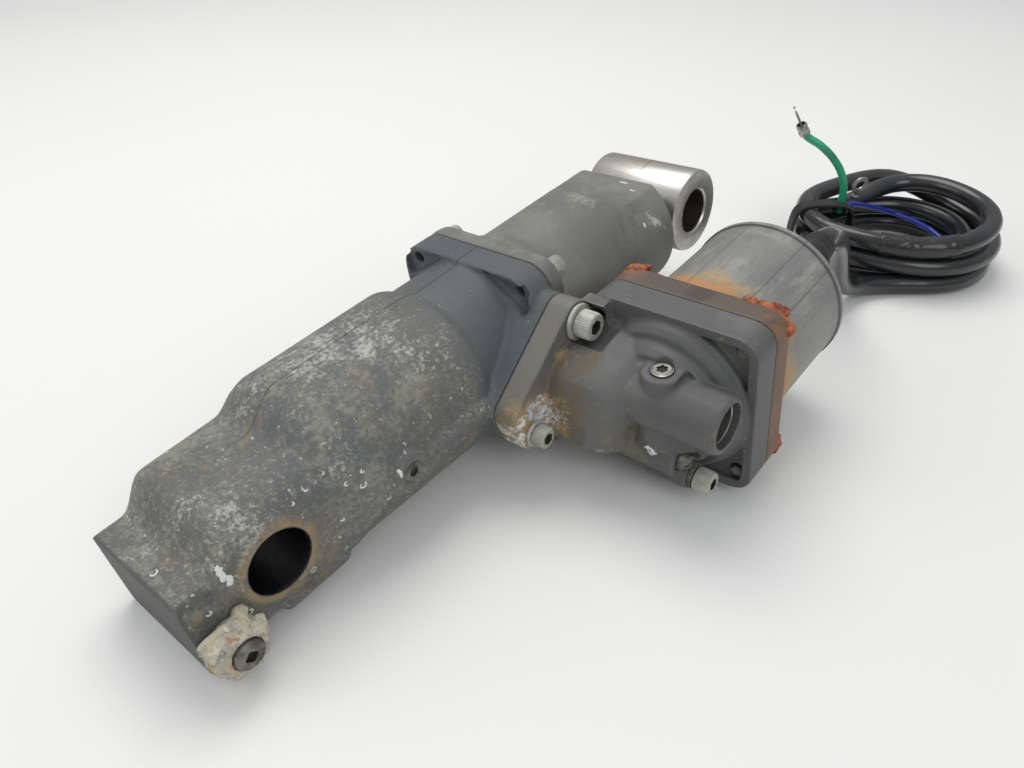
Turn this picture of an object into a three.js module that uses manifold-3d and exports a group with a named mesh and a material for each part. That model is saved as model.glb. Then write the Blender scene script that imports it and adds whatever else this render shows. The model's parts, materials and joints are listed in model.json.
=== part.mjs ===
// Electro-hydraulic tilt cylinder: a two-piece cast cylinder with a rod eye, a lower pin bore and a sacrificial
// anode, and a bolted-on pump housing with a parallel electric motor and its tied cable. Millimetres, +Z up.
//
// Two frames are used. The unit frame has its origin on the cylinder axis at the joint of the two castings: +Y runs
// along the axis to the rod eye, +X to the pump side. The outer frame has the surface the unit lies on at z = 0.
import * as THREE from 'three';
import { mergeVertices } from 'three/addons/utils/BufferGeometryUtils.js';
import Module from 'manifold-3d';

const wasm = await Module();
wasm.setup();

// ---- Driving dimensions ----
const GAP = 0.3; // clearance between neighbouring solids

const LIE_PITCH = 5.22; // degrees, how the unit lies on a flat surface: rod end up
const LIE_ROLL = -5.13; // degrees, pump side down

const FLANGE_HALF = 41; // main joint flange
const FLANGE_TOP = 40.5;
const FLANGE_BOTTOM = -43.1;
const FLANGE_CORNER = 14;
const LOWER_FLANGE = 15; // flange thickness on the lower casting
const UPPER_FLANGE = 8.5; // and on the upper casting
const SCREW_PITCH = 32.3; // the four joint screws, across and up from the axis
const NECK_R = 38.5;
const UPPER_R = 36.8;
const UPPER_END = 111.8;
const UPPER_FLAT = 28.5;
const LOWER_END = -199.2;

const BORE_R = 22.5; // piston bore
const SLEEVE_R = 25; // outside of the steel sleeve
const SLEEVE_FROM = -117;
const SLEEVE_TO = 90;
const ROD_R = 11;

const PIN_Y = -160.2; // lower pin bore
const PIN_R = 13.2;
const PIN_FACE = 34.3;
const ANODE_FACE = PIN_FACE + GAP;
const ANODE_PLACE = [-188, -14]; // anode screw, as (y, z)
const EYE_Y = 141.8; // rod eye
const EYE_R = 23.4;
const EYE_BORE_R = 12.5;
const EYE_HALF = 31;

const PAD_X = 46; // joint face between the lower casting and the pump unit
const SIDE_FLANGE = 12;
const BOLT_TOP = [-5.4, 21.5]; // mounting bolts, as (y, z)
const BOLT_NEAR = [-42.2, -16.5];
const BOLT_LOW = [-8.5, -32];

const MOTOR_X = 96.7; // motor and pump axis
const MOTOR_Z = -11.9;
const PLATE_HALF = 41.6;
const PLATE_CORNER = 10;
const PLATE_NEAR = 6.8;
const PLATE_FAR = 21.8;
const ADAPTER_FAR = 33.8;
const MOTOR_SCREW_PITCH = 33.4;
const MOTOR_R = 39.2;
const CAN_WALL = 2.6;
const CAN_FAR = 96.5;
const CAP_FAR = 103.8;
const CAVITY_R = 27;
const PUMP_NEAR = 1.4; // near faces of the gear pump's body, gears and cover
const GEARS_NEAR = 4.4;
const COVER_NEAR = 10.8;

const PORT_Y = -9.2;
const PORT_Z = -1.5;
const PORT_END = 134.8;
const VALVE_Y = -11.2;
const VALVE_Z = -28.5;
const VALVE_END = 114.3;
const FILLER_X = 103.8;
const FILLER_TOP = 15;
const KEEPER_Y = -7.2;
const KEEPER_Z = -40.5;
const KEEPER_FACE = 117.2;
const KEEPER_THICK = 2.3;

const CABLE_R = 6; // jacketed motor cable
const COIL_TIED = [40, 289, 46]; // tied coil, in the outer frame: its narrow end, as (x, y, radius)
const COIL_WIDE = [63, 308.3, 58]; // and its wide end
const COIL_HOLE = [[49, 296.6, 18], [63, 308.3, 30]];
const COIL_HIGH = 36;
const EARTH_R = 2.4; // single earth wire

// ---- Materials ----
const paint = (color, roughness, metalness) => new THREE.MeshStandardMaterial({ color, roughness, metalness });
const LOWER_CAST = paint(0x4a4d52, 0.7, 0.5);
const UPPER_CAST = paint(0x6f6e69, 0.6, 0.5);
const SIDE_CAST = paint(0x56575a, 0.65, 0.5);
const STEEL = paint(0x9c9a94, 0.4, 0.9);
const POLISHED = paint(0xd8d3cc, 0.15, 1);
const ZINC = paint(0xb9b9ac, 0.5, 0.7);
const ANODE_CRUST = paint(0xb7aa8e, 0.9, 0.2);
const BROWN_PLATE = paint(0x5c534d, 0.6, 0.5);
const MOTOR_PAINT = paint(0x84847f, 0.55, 0.5);
const COPPER = paint(0xb06a3a, 0.4, 0.9);
const MAGNET = paint(0x3a3a3c, 0.7, 0.2);
const CARBON = paint(0x262626, 0.8, 0.1);
const BRONZE = paint(0xa8834a, 0.4, 0.8);
const RUBBER = paint(0x1c1c1c, 0.8, 0);
const PVC = paint(0x17181a, 0.4, 0);
const GREEN_PVC = paint(0x0f7d55, 0.4, 0);
const TINNED = paint(0xb4b1a6, 0.35, 0.9);

// ---- Solid helpers ----
function toSolid(geometry) {
  const bare = geometry.clone();
  bare.deleteAttribute('normal');
  bare.deleteAttribute('uv');
  const merged = mergeVertices(bare, 1e-4);
  const index = merged.index.array;
  const kept = [];
  for (let i = 0; i < index.length; i += 3) {
    const [a, b, c] = [index[i], index[i + 1], index[i + 2]];
    if (a !== b && b !== c && c !== a) kept.push(a, b, c);
  }
  return new wasm.Manifold(new wasm.Mesh({
    numProp: 3,
    vertProperties: merged.attributes.position.array,
    triVerts: new Uint32Array(kept),
  }));
}

function toGeometry(solid) {
  const { vertProperties, triVerts } = solid.getMesh();
  const geometry = new THREE.BufferGeometry();
  geometry.setAttribute('position', new THREE.BufferAttribute(vertProperties, 3));
  geometry.setIndex(new THREE.BufferAttribute(triVerts, 1));
  geometry.computeVertexNormals();
  return geometry;
}

const join = (first, ...others) => others.reduce((whole, other) => whole.add(other), first);
const cut = (first, ...tools) => tools.reduce((whole, tool) => whole.subtract(tool), first);

// Turns a geometry made along +Y so that it points along the named axis.
function aim(geometry, axis) {
  if (axis === 'x') geometry.rotateZ(-Math.PI / 2);
  if (axis === 'z') geometry.rotateX(Math.PI / 2);
  return geometry;
}

// A round bar along an axis; (a, b) are its two other coordinates, in x, y, z order.
function bar(axis, radius, from, to, [a, b], sides = 20) {
  const geometry = aim(new THREE.CylinderGeometry(radius, radius, to - from, sides), axis);
  const middle = (from + to) / 2;
  const centre = { x: [middle, a, b], y: [a, middle, b], z: [a, b, middle] }[axis];
  return toSolid(geometry.translate(...centre));
}

function ring(axis, inner, outer, from, to, place, sides = 20) {
  return cut(bar(axis, outer, from, to, place, sides), bar(axis, inner, from - 1, to + 1, place, sides));
}

function block(x0, x1, y0, y1, z0, z1) {
  const geometry = new THREE.BoxGeometry(x1 - x0, y1 - y0, z1 - z0);
  return toSolid(geometry.translate((x0 + x1) / 2, (y0 + y1) / 2, (z0 + z1) / 2));
}

// A solid of revolution along +Y through (x, z), from points of (radius, y).
function turned(profile, [x, z] = [0, 0], sides = 28) {
  const points = profile.map(([radius, y]) => new THREE.Vector2(radius, y));
  return toSolid(new THREE.LatheGeometry(points, sides).translate(x, 0, z));
}

// The outline around a ring of circles (u, v, radius) given anticlockwise.
function around(circles) {
  const shape = new THREE.Shape();
  const normals = circles.map(([u, v, r], i) => {
    const [nu, nv, nr] = circles[(i + 1) % circles.length];
    const length = Math.hypot(nu - u, nv - v);
    return Math.atan2(nv - v, nu - u) - Math.PI / 2 + Math.asin((r - nr) / length);
  });
  circles.forEach(([u, v, r], i) => {
    const before = normals[(i + circles.length - 1) % circles.length];
    shape.absarc(u, v, r, before, normals[i], false);
  });
  return shape;
}

function roundedBox(u0, u1, v0, v1, r) {
  return around([[u0 + r, v0 + r, r], [u1 - r, v0 + r, r], [u1 - r, v1 - r, r], [u0 + r, v1 - r, r]]);
}

// A prism along an axis; the shape is drawn in (y, z), (x, z) or (x, y).
function prism(axis, shape, from, to, curveSegments = 4) {
  const geometry = new THREE.ExtrudeGeometry(shape, { depth: to - from, bevelEnabled: false, curveSegments });
  if (axis === 'x') {
    const turn = new THREE.Matrix4().makeBasis(
      new THREE.Vector3(0, 1, 0),
      new THREE.Vector3(0, 0, 1),
      new THREE.Vector3(1, 0, 0),
    );
    return toSolid(geometry.applyMatrix4(turn).translate(from, 0, 0));
  }
  if (axis === 'y') return toSolid(geometry.rotateX(Math.PI / 2).translate(0, to, 0));
  return toSolid(geometry.translate(0, 0, from));
}

// A body along +Y whose section is a rounded box that changes from one row of [y, left, right, bottom, top, r] to
// the next.
function loft(rows, sides = 32) {
  const geometry = new THREE.CylinderGeometry(1, 1, 1, sides, rows.length - 1);
  geometry.rotateY(Math.PI / sides);
  const position = geometry.attributes.position;
  for (let i = 0; i < position.count; i += 1) {
    const [x, z] = [position.getX(i), position.getZ(i)];
    const [y, left, right, bottom, top, r] = rows[Math.round((position.getY(i) + 0.5) * (rows.length - 1))];
    const middle = [(left + right) / 2, (bottom + top) / 2];
    if (Math.hypot(x, z) < 0.5) {
      position.setXYZ(i, middle[0], y, middle[1]);
    } else {
      const cornerX = x > 0 ? right - r : left + r;
      const cornerZ = z > 0 ? top - r : bottom + r;
      position.setXYZ(i, cornerX + x * r, y, cornerZ + z * r);
    }
  }
  return toSolid(geometry);
}

// A socket-head screw along +Y with the outer face of its head at y = 0.
function socketScrew({ headR, headHigh, shankR, length, socketR, socketDeep }) {
  const head = bar('y', headR, -headHigh, 0, [0, 0], 18);
  const shank = bar('y', shankR, -headHigh - length, -headHigh + 0.5, [0, 0], 12);
  const socket = bar('y', socketR, -socketDeep, 1, [0, 0], 6);
  return cut(join(head, shank), socket);
}

const unit = new THREE.Group();
const assembly = new THREE.Group();
assembly.add(unit);

function add(name, solid, material, position = [0, 0, 0], axis = 'y', group = unit) {
  const mesh = new THREE.Mesh(toGeometry(solid), material);
  mesh.name = name;
  mesh.position.set(...position);
  if (axis === 'x') mesh.rotation.z = -Math.PI / 2;
  if (axis === 'z') mesh.rotation.x = Math.PI / 2;
  group.add(mesh);
}

const MOTOR = [MOTOR_X, MOTOR_Z];
const SCREW_SIGNS = [[-1, 1], [1, 1], [1, -1], [-1, -1]];
const PAD_OUTLINE = [[...BOLT_LOW, 8.6], [...BOLT_TOP, 9.6], [-45.6, -5.5, 8.2], [-42, -16.3, 8.6]];

// ---- Lower casting: barrel, pin end, joint flange and pump pad ----
function lowerCasting() {
  const body = loft([
    [LOWER_END, -27, PIN_FACE, -26.6, 12, 3],
    [-187, -27, PIN_FACE, -27, 12.6, 4],
    [-173, -31, PIN_FACE, -28.6, 27, 12],
    [-138, -31.5, PIN_FACE, -30, 28, 13],
    [-127, -37.5, 38.5, -34.2, 37, 27],
    [-120, -40.5, 41, -34.6, 40.5, 34],
    [-50, -40.5, 41, -37.6, 40.5, 35],
    [-43, -NECK_R, NECK_R, -37.8, NECK_R, 38],
    [-1, -NECK_R, NECK_R, -NECK_R, NECK_R, NECK_R],
  ]);
  const outline = roundedBox(-FLANGE_HALF, FLANGE_HALF, FLANGE_BOTTOM, FLANGE_TOP, FLANGE_CORNER);
  const pockets = SCREW_SIGNS.map(([sx, sz]) => {
    const corners = [[14, 38.5, 0.8], [37, 25, 1.5], [35.8, 33.8, 3]].map(([u, v, r]) => [u * sx, v * sz, r]);
    return prism('y', around(sx * sz > 0 ? corners : corners.reverse()), -LOWER_FLANGE - 1, -12);
  });
  const flange = cut(prism('y', outline, -LOWER_FLANGE, 0), ...pockets);
  const pad = prism('x', around(PAD_OUTLINE), 12, PAD_X);
  const gallery = join(
    bar('y', 9.5, -100, -30, [34, -2], 20),
    bar('x', 9.5, 25, 43.8, [-99, -1], 20),
    bar('y', 12, -166, -130, [22.3, -21.4], 24),
  );
  const pinBoss = turned([[0, 0], [17.5, 0], [16.6, 1.2], [0, 1.2]]);
  const outside = join(body, flange, pad, gallery, moved(pinBoss, [PIN_FACE - 0.2, PIN_Y, 0], 'x'));
  const holes = SCREW_SIGNS.map(([sx, sz]) => bar('y', 2.8, -16, 1, [sx * SCREW_PITCH, sz * SCREW_PITCH], 12));
  return cut(
    outside,
    bar('y', SLEEVE_R + GAP, SLEEVE_FROM - GAP, 1, [0, 0], 24),
    bar('y', BORE_R + GAP, -124, SLEEVE_FROM, [0, 0], 24),
    ring('y', 26.4, 30, -2, 1, [0, 0], 24),
    ...holes,
    bar('x', PIN_R, -50, 50, [PIN_Y, 0], 24),
    bar('x', 3.4, 30, 50, [-99, -1], 16),
    bar('x', 4.3, 31.5, 50, BOLT_TOP, 16),
    bar('x', 3.3, 31.5, 50, BOLT_NEAR, 16),
    bar('x', 3.3, 36.5, 50, BOLT_LOW, 16),
    bar('x', 3, 20, 50, [-24, 2], 16),
    bar('x', 3.4, 18, 50, ANODE_PLACE, 12),
    block(-60, FLANGE_HALF + 2 * GAP, 0, 20, -60, 60),
  );
}

// A solid made along +Y, turned to an axis and moved to its place.
function moved(solid, place, axis = 'y') {
  return toSolid(aim(toGeometry(solid), axis).translate(...place));
}

// ---- Upper casting: joint flange, barrel and closed rod end ----
function upperCasting() {
  const barrel = bar('y', UPPER_R, 1, UPPER_END, [0, 0], 32);
  const slope = new THREE.Shape([
    new THREE.Vector2(70, 40),
    new THREE.Vector2(86, UPPER_FLAT),
    new THREE.Vector2(UPPER_END + 1, UPPER_FLAT),
    new THREE.Vector2(UPPER_END + 1, 40),
  ]);
  const outline = roundedBox(-FLANGE_HALF, FLANGE_HALF, FLANGE_BOTTOM + 1, FLANGE_TOP, FLANGE_CORNER);
  const shoulder = turned([[0, 0], [UPPER_R + 2.2, 0], [UPPER_R + 2.2, 13], [UPPER_R, 20], [0, 20]], [0, 0], 32);
  const pockets = SCREW_SIGNS.map(([sx, sz]) => {
    const corners = [[10, 38.5, 1], [25, 33, 1], [25, 37.5, 1.2]].map(([u, v, r]) => [u * sx, v * sz, r]);
    return prism('y', around(sx * sz > 0 ? corners : corners.reverse()), 5, UPPER_FLANGE + 1);
  });
  const outside = cut(barrel, prism('x', slope, -50, 50));
  const flange = cut(prism('y', outline, 0, UPPER_FLANGE), ...pockets);
  const holes = SCREW_SIGNS.map(([sx, sz]) => bar('y', 2.8, -1, 20, [sx * SCREW_PITCH, sz * SCREW_PITCH], 12));
  return cut(
    join(outside, flange, shoulder),
    bar('y', SLEEVE_R + GAP, -1, 104.3, [0, 0], 24),
    bar('y', ROD_R + GAP, 100, UPPER_END + 1, [0, 0], 24),
    bar('y', 15.6, 107.3, UPPER_END + 1, [0, 0], 24),
    ...holes,
  );
}

// ---- Cylinder internals ----
function addCylinder() {
  add('lower_cylinder', lowerCasting(), LOWER_CAST);
  add('upper_cylinder', upperCasting().translate([0, GAP, 0]), UPPER_CAST);
  add('joint_o_ring', ring('y', 26.7, 29.6, -1.7, -GAP, [0, 0], 24), RUBBER);
  add('cylinder_sleeve', ring('y', BORE_R, SLEEVE_R, SLEEVE_FROM, SLEEVE_TO, [0, 0], 24), STEEL);
  const guide = cut(
    bar('y', SLEEVE_R, 90.4, 104, [0, 0], 24),
    bar('y', ROD_R + 0.15, 90, 105, [0, 0], 24),
    bar('y', 15.6, 90, 95.3, [0, 0], 24),
  );
  add('rod_guide', guide, BRONZE);
  add('rod_seal', ring('y', ROD_R + 0.2, 15.3, 90.7, 95, [0, 0], 24), RUBBER);
  add('rod_wiper', ring('y', ROD_R + 0.2, 15.3, 107.6, UPPER_END + 1.4, [0, 0], 24), RUBBER);
  for (const [index, [sx, sz]] of SCREW_SIGNS.entries()) {
    const screw = socketScrew({ headR: 4.25, headHigh: 5, shankR: 2.5, length: 22, socketR: 2.4, socketDeep: 2.6 });
    const place = [sx * SCREW_PITCH, UPPER_FLANGE + 2 * GAP + 5, sz * SCREW_PITCH];
    add(`flange_screw_${index + 1}`, screw, ZINC, place);
  }
}

// ---- Rod, piston and rod eye: everything that slides ----
function addRod() {
  const rod = join(
    bar('y', ROD_R, -86, 114, [0, 0], 24),
    bar('y', 8, -116, -85.5, [0, 0], 24),
    bar('y', 8, 113.5, 126.6, [0, 0], 24),
  );
  add('piston_rod', rod, POLISHED);
  const piston = cut(
    bar('y', BORE_R - 0.3, -106, -86.4, [0, 0], 24),
    bar('y', 8.3, -107, -86, [0, 0], 24),
    ring('y', 18.8, 30, -99, -94, [0, 0], 24),
  );
  add('piston', piston, STEEL);
  add('piston_seal', ring('y', 19.1, BORE_R - 0.15, -98.7, -94.3, [0, 0], 24), RUBBER);
  const nut = cut(bar('y', 13.5, -114.6, -106.4, [0, 0], 6), bar('y', 8.3, -116, -105, [0, 0], 24));
  add('piston_nut', nut, ZINC);
  const eye = cut(
    join(
      moved(turned([
        [0, -EYE_HALF], [EYE_R - 1.6, -EYE_HALF], [EYE_R, -EYE_HALF + 1.6],
        [EYE_R, EYE_HALF - 1.6], [EYE_R - 1.6, EYE_HALF], [0, EYE_HALF],
      ], [0, 0], 32), [0, EYE_Y, 0], 'x'),
      bar('y', 15, 114.4, EYE_Y - 15, [0, 0], 24),
    ),
    bar('x', EYE_BORE_R, -40, 40, [EYE_Y, 0], 24),
    bar('y', 8.3, 110, 127, [0, 0], 24),
  );
  add('rod_eye', eye, POLISHED);
  const free = cut(
    bar('y', BORE_R - 0.3, -123.4, -106.6, [0, 0], 24),
    bar('y', 15.5, -116.4, -100, [0, 0], 24),
  );
  add('free_piston', free, STEEL);
}

// ---- Small pieces on the lower casting ----
function addLowerFittings() {
  const crust = cut(
    join(
      loft([
        [-200.5, ANODE_FACE, 42, -23, -4, 4],
        [-197, ANODE_FACE, 45.5, -26, -1.5, 6],
        [-183, ANODE_FACE, 45.5, -26, -1.5, 6],
        [-179, ANODE_FACE, 42, -23, -4, 4],
      ], 20),
      bar('x', 8.5, ANODE_FACE, 46.5, ANODE_PLACE, 20),
    ),
    bar('x', 3.4, 20, 60, ANODE_PLACE, 12),
    bar('x', 6.3, 44.2, 60, ANODE_PLACE, 20),
  );
  add('anode', crust, ANODE_CRUST);
  const anodeScrew = socketScrew({ headR: 6, headHigh: 4, shankR: 3, length: 25, socketR: 2.6, socketDeep: 2 });
  add('anode_screw', anodeScrew, ZINC, [48.6, ...ANODE_PLACE], 'x');
  const drain = cut(bar('y', 3.1, -9, 0, [0, 0], 16), bar('y', 1.7, -3, 1, [0, 0], 6));
  add('drain_plug', drain, ZINC, [43.2, -99, -1], 'x');
}

// ---- Pump housing: side flange, arm, dome, motor plate and bosses ----
function pumpHousing() {
  const flange = prism('x', around(PAD_OUTLINE), PAD_X + GAP, PAD_X + SIDE_FLANGE);
  const arm = join(
    loft([
      [-33, 50, 80, -24, -6, 8],
      [-26, 50, 90, -30, 8, 10],
      [-4, 50, 96, -36, 17, 10],
      [PLATE_NEAR + 2, 56, 96, -36, 19, 10],
    ], 24),
    block(56, 68, -1, PLATE_NEAR + 1, 12, MOTOR_Z + PLATE_HALF - 1),
  );
  const dome = turned([
    [0, -16], [17, -15.6], [24, -12], [28, -6], [31, -1], [35, 3.2], [38.5, PLATE_NEAR + 1], [0, PLATE_NEAR + 1],
  ], MOTOR, 32);
  const square = roundedBox(
    MOTOR_X - PLATE_HALF, MOTOR_X + PLATE_HALF, MOTOR_Z - PLATE_HALF, MOTOR_Z + PLATE_HALF, PLATE_CORNER,
  );
  const inner = prism('y', roundedBox(
    MOTOR_X - PLATE_HALF + 4.5, MOTOR_X + PLATE_HALF - 4.5, MOTOR_Z - PLATE_HALF + 4.5, MOTOR_Z + PLATE_HALF - 4.5, 7,
  ), PLATE_NEAR - 1, 12.8);
  const pocket = cut(inner, bar('y', 39.5, 0, 20, MOTOR, 32), block(50, 84, 0, 20, -5, 40));
  const plate = cut(prism('y', square, PLATE_NEAR, PLATE_FAR), pocket);
  const port = join(
    bar('x', 13, 92, PORT_END - 1, [PORT_Y, PORT_Z], 24),
    bar('x', 12.2, 100, PORT_END, [PORT_Y, PORT_Z], 24),
  );
  const filler = bar('z', 8.8, -14, FILLER_TOP, [FILLER_X, PORT_Y], 20);
  const valve = join(
    bar('x', 8.4, 78, VALVE_END, [VALVE_Y, VALVE_Z], 24),
    bar('x', 6.8, 50, 80, [VALVE_Y - 1, VALVE_Z + 0.5], 20),
    block(80, VALVE_END, VALVE_Y, PLATE_NEAR + 1, VALVE_Z - 8, VALVE_Z + 8),
    bar('x', 6.5, 96, KEEPER_FACE, [KEEPER_Y, KEEPER_Z], 20),
    block(96, VALVE_END, KEEPER_Y - 5, PLATE_NEAR + 1, KEEPER_Z - 5, KEEPER_Z + 8),
  );
  const outside = join(flange, arm, dome, plate, port, filler, valve);
  const screwHoles = SCREW_SIGNS.map(([sx, sz]) => bar(
    'y', 3.2, 0, 30, [MOTOR_X + sx * MOTOR_SCREW_PITCH, MOTOR_Z + sz * MOTOR_SCREW_PITCH], 16,
  ));
  return cut(
    outside,
    bar('y', CAVITY_R, PUMP_NEAR - GAP, 30, MOTOR, 24),
    bar('x', 10, 122, 140, [PORT_Y, PORT_Z], 24),
    bar('x', 7.2, 112, 140, [PORT_Y, PORT_Z], 20),
    bar('z', 5, FILLER_TOP - 1.4, FILLER_TOP + 5, [FILLER_X, PORT_Y], 24),
    bar('z', 3.6, FILLER_TOP - 14, FILLER_TOP + 5, [FILLER_X, PORT_Y], 20),
    bar('x', 5.4, 94, VALVE_END + 5, [VALVE_Y, VALVE_Z], 24),
    bar('x', 3.2, 100, VALVE_END + 5, [KEEPER_Y, KEEPER_Z], 16),
    ring('x', 8.9, 30, PAD_X + SIDE_FLANGE, 75, BOLT_TOP, 24).intersect(block(58, 75, -16, 6, 9, 34)),
    bar('x', 9.2, PAD_X + SIDE_FLANGE, 75, BOLT_TOP, 24),
    bar('x', 7.2, PAD_X + SIDE_FLANGE, 75, BOLT_NEAR, 24),
    bar('x', 7.2, PAD_X + SIDE_FLANGE, 75, BOLT_LOW, 24),
    bar('x', 4.4, 40, 75, BOLT_TOP, 16),
    bar('x', 3.4, 40, 75, BOLT_NEAR, 16),
    bar('x', 3.4, 40, 75, BOLT_LOW, 16),
    bar('x', 3, 40, 72, [-24, 2], 16),
    ...screwHoles,
  );
}

function addPumpFittings() {
  const bolts = [
    ['upper', BOLT_TOP, { headR: 6.5, headHigh: 8, shankR: 4, length: 26, socketR: 3.5, socketDeep: 4 }, 8.5, 1.8],
    ['near', BOLT_NEAR, { headR: 5, headHigh: 6, shankR: 3, length: 24, socketR: 2.9, socketDeep: 3 }, 6.2, 1.5],
    ['low', BOLT_LOW, { headR: 5, headHigh: 6, shankR: 3, length: 19, socketR: 2.9, socketDeep: 3 }, 6.2, 1.5],
  ];
  const seat = PAD_X + SIDE_FLANGE + GAP;
  for (const [name, [y, z], screw, washerR, washerThick] of bolts) {
    add(`mount_bolt_${name}`, socketScrew(screw), ZINC, [seat + washerThick + GAP + screw.headHigh, y, z], 'x');
    add(`mount_washer_${name}`, ring('x', screw.shankR + GAP, washerR, seat, seat + washerThick, [y, z], 24), ZINC);
  }
  const filler = join(bar('y', 4.5, -1.6, 0, [0, 0], 20), bar('y', 3.2, -12, -1.4, [0, 0], 16));
  const fillerPlug = cut(filler, bar('y', 2.2, -1.2, 1, [0, 0], 12));
  add('filler_plug', fillerPlug, POLISHED, [FILLER_X, PORT_Y, FILLER_TOP + 0.6], 'z');
  add('port_ring', ring('x', 8.5, 9.7, 122.4, 131.5, [PORT_Y, PORT_Z], 24), STEEL);
  const valve = turned([
    [0, -18], [4.2, -18], [5, -16], [5, -4], [4, -3.4], [4, -1.8], [5, -1.2], [5, 1.5], [3.6, 2.6], [3, 4.2], [0, 4.8],
  ], [0, 0], 24);
  add('release_valve', cut(valve, block(-4, 4, 3.4, 6, -0.7, 0.7)), STEEL, [VALVE_END, VALVE_Y, VALVE_Z], 'x');
  const keeper = cut(
    prism('x', around([[KEEPER_Y, KEEPER_Z, 5.6], [VALVE_Y + 4.4, VALVE_Z - 5, 1.6], [VALVE_Y + 3, VALVE_Z - 5.4, 1.2]]),
      KEEPER_FACE + GAP, KEEPER_FACE + KEEPER_THICK),
    bar('x', 3.4, 100, 130, [KEEPER_Y, KEEPER_Z], 16),
    bar('x', 5.5, 100, 130, [VALVE_Y, VALVE_Z], 24),
  );
  add('keeper_plate', keeper, STEEL);
  const keeperBolt = socketScrew({ headR: 5.6, headHigh: 8, shankR: 3, length: 14, socketR: 2.9, socketDeep: 4 });
  add('keeper_bolt', keeperBolt, ZINC, [KEEPER_FACE + KEEPER_THICK + GAP + 8, KEEPER_Y, KEEPER_Z], 'x');
}

// ---- Gear pump inside the dome ----
const GEAR_TEETH = 10;
const GEAR_PITCH_R = 7.5;
const GEAR_APART = 15.3;

function gear(turn) {
  const shape = new THREE.Shape();
  const step = (2 * Math.PI) / GEAR_TEETH;
  const flank = [[-0.27, 5.9], [-0.17, GEAR_PITCH_R], [-0.08, 8.7], [0.08, 8.7], [0.17, GEAR_PITCH_R], [0.27, 5.9]];
  for (let tooth = 0; tooth < GEAR_TEETH; tooth += 1) {
    for (const [part, radius] of flank) {
      const angle = turn + (tooth + part) * step;
      const [u, v] = [radius * Math.cos(angle), radius * Math.sin(angle)];
      if (tooth === 0 && part === flank[0][0]) shape.moveTo(u, v);
      else shape.lineTo(u, v);
    }
  }
  shape.closePath();
  return prism('y', shape, GEARS_NEAR, COVER_NEAR - 2 * GAP);
}

function addPump() {
  const idlerZ = MOTOR_Z + GEAR_APART;
  const body = cut(
    bar('y', CAVITY_R - 0.5, PUMP_NEAR, COVER_NEAR - GAP, MOTOR, 24),
    bar('y', 9.1, GEARS_NEAR - GAP, 12, MOTOR, 24),
    bar('y', 9.1, GEARS_NEAR - GAP, 12, [MOTOR_X, idlerZ], 24),
    bar('y', 3.7, PUMP_NEAR + 0.6, 12, MOTOR, 16),
    bar('y', 3.7, PUMP_NEAR + 0.6, 12, [MOTOR_X, idlerZ], 16),
  );
  add('pump_body', body, STEEL);
  const cover = cut(
    bar('y', CAVITY_R - 0.5, COVER_NEAR, COVER_NEAR + 4.4, MOTOR, 24),
    bar('y', 3.7, 10, 16, MOTOR, 16),
    bar('y', 3.7, 10, COVER_NEAR + 3, [MOTOR_X, idlerZ], 16),
  );
  add('pump_cover', cover, STEEL);
  const driveStub = bar('y', 3.4, PUMP_NEAR + 0.9, 18.6, [0, 0], 16);
  add('drive_gear', join(gear(Math.PI / 2), driveStub), STEEL, [MOTOR_X, 0, MOTOR_Z]);
  const idlerStub = bar('y', 3.4, PUMP_NEAR + 0.9, COVER_NEAR + 2.7, [0, 0], 16);
  add('idler_gear', join(gear(Math.PI / 2 + Math.PI / GEAR_TEETH), idlerStub), STEEL, [MOTOR_X, 0, idlerZ]);
}

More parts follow.
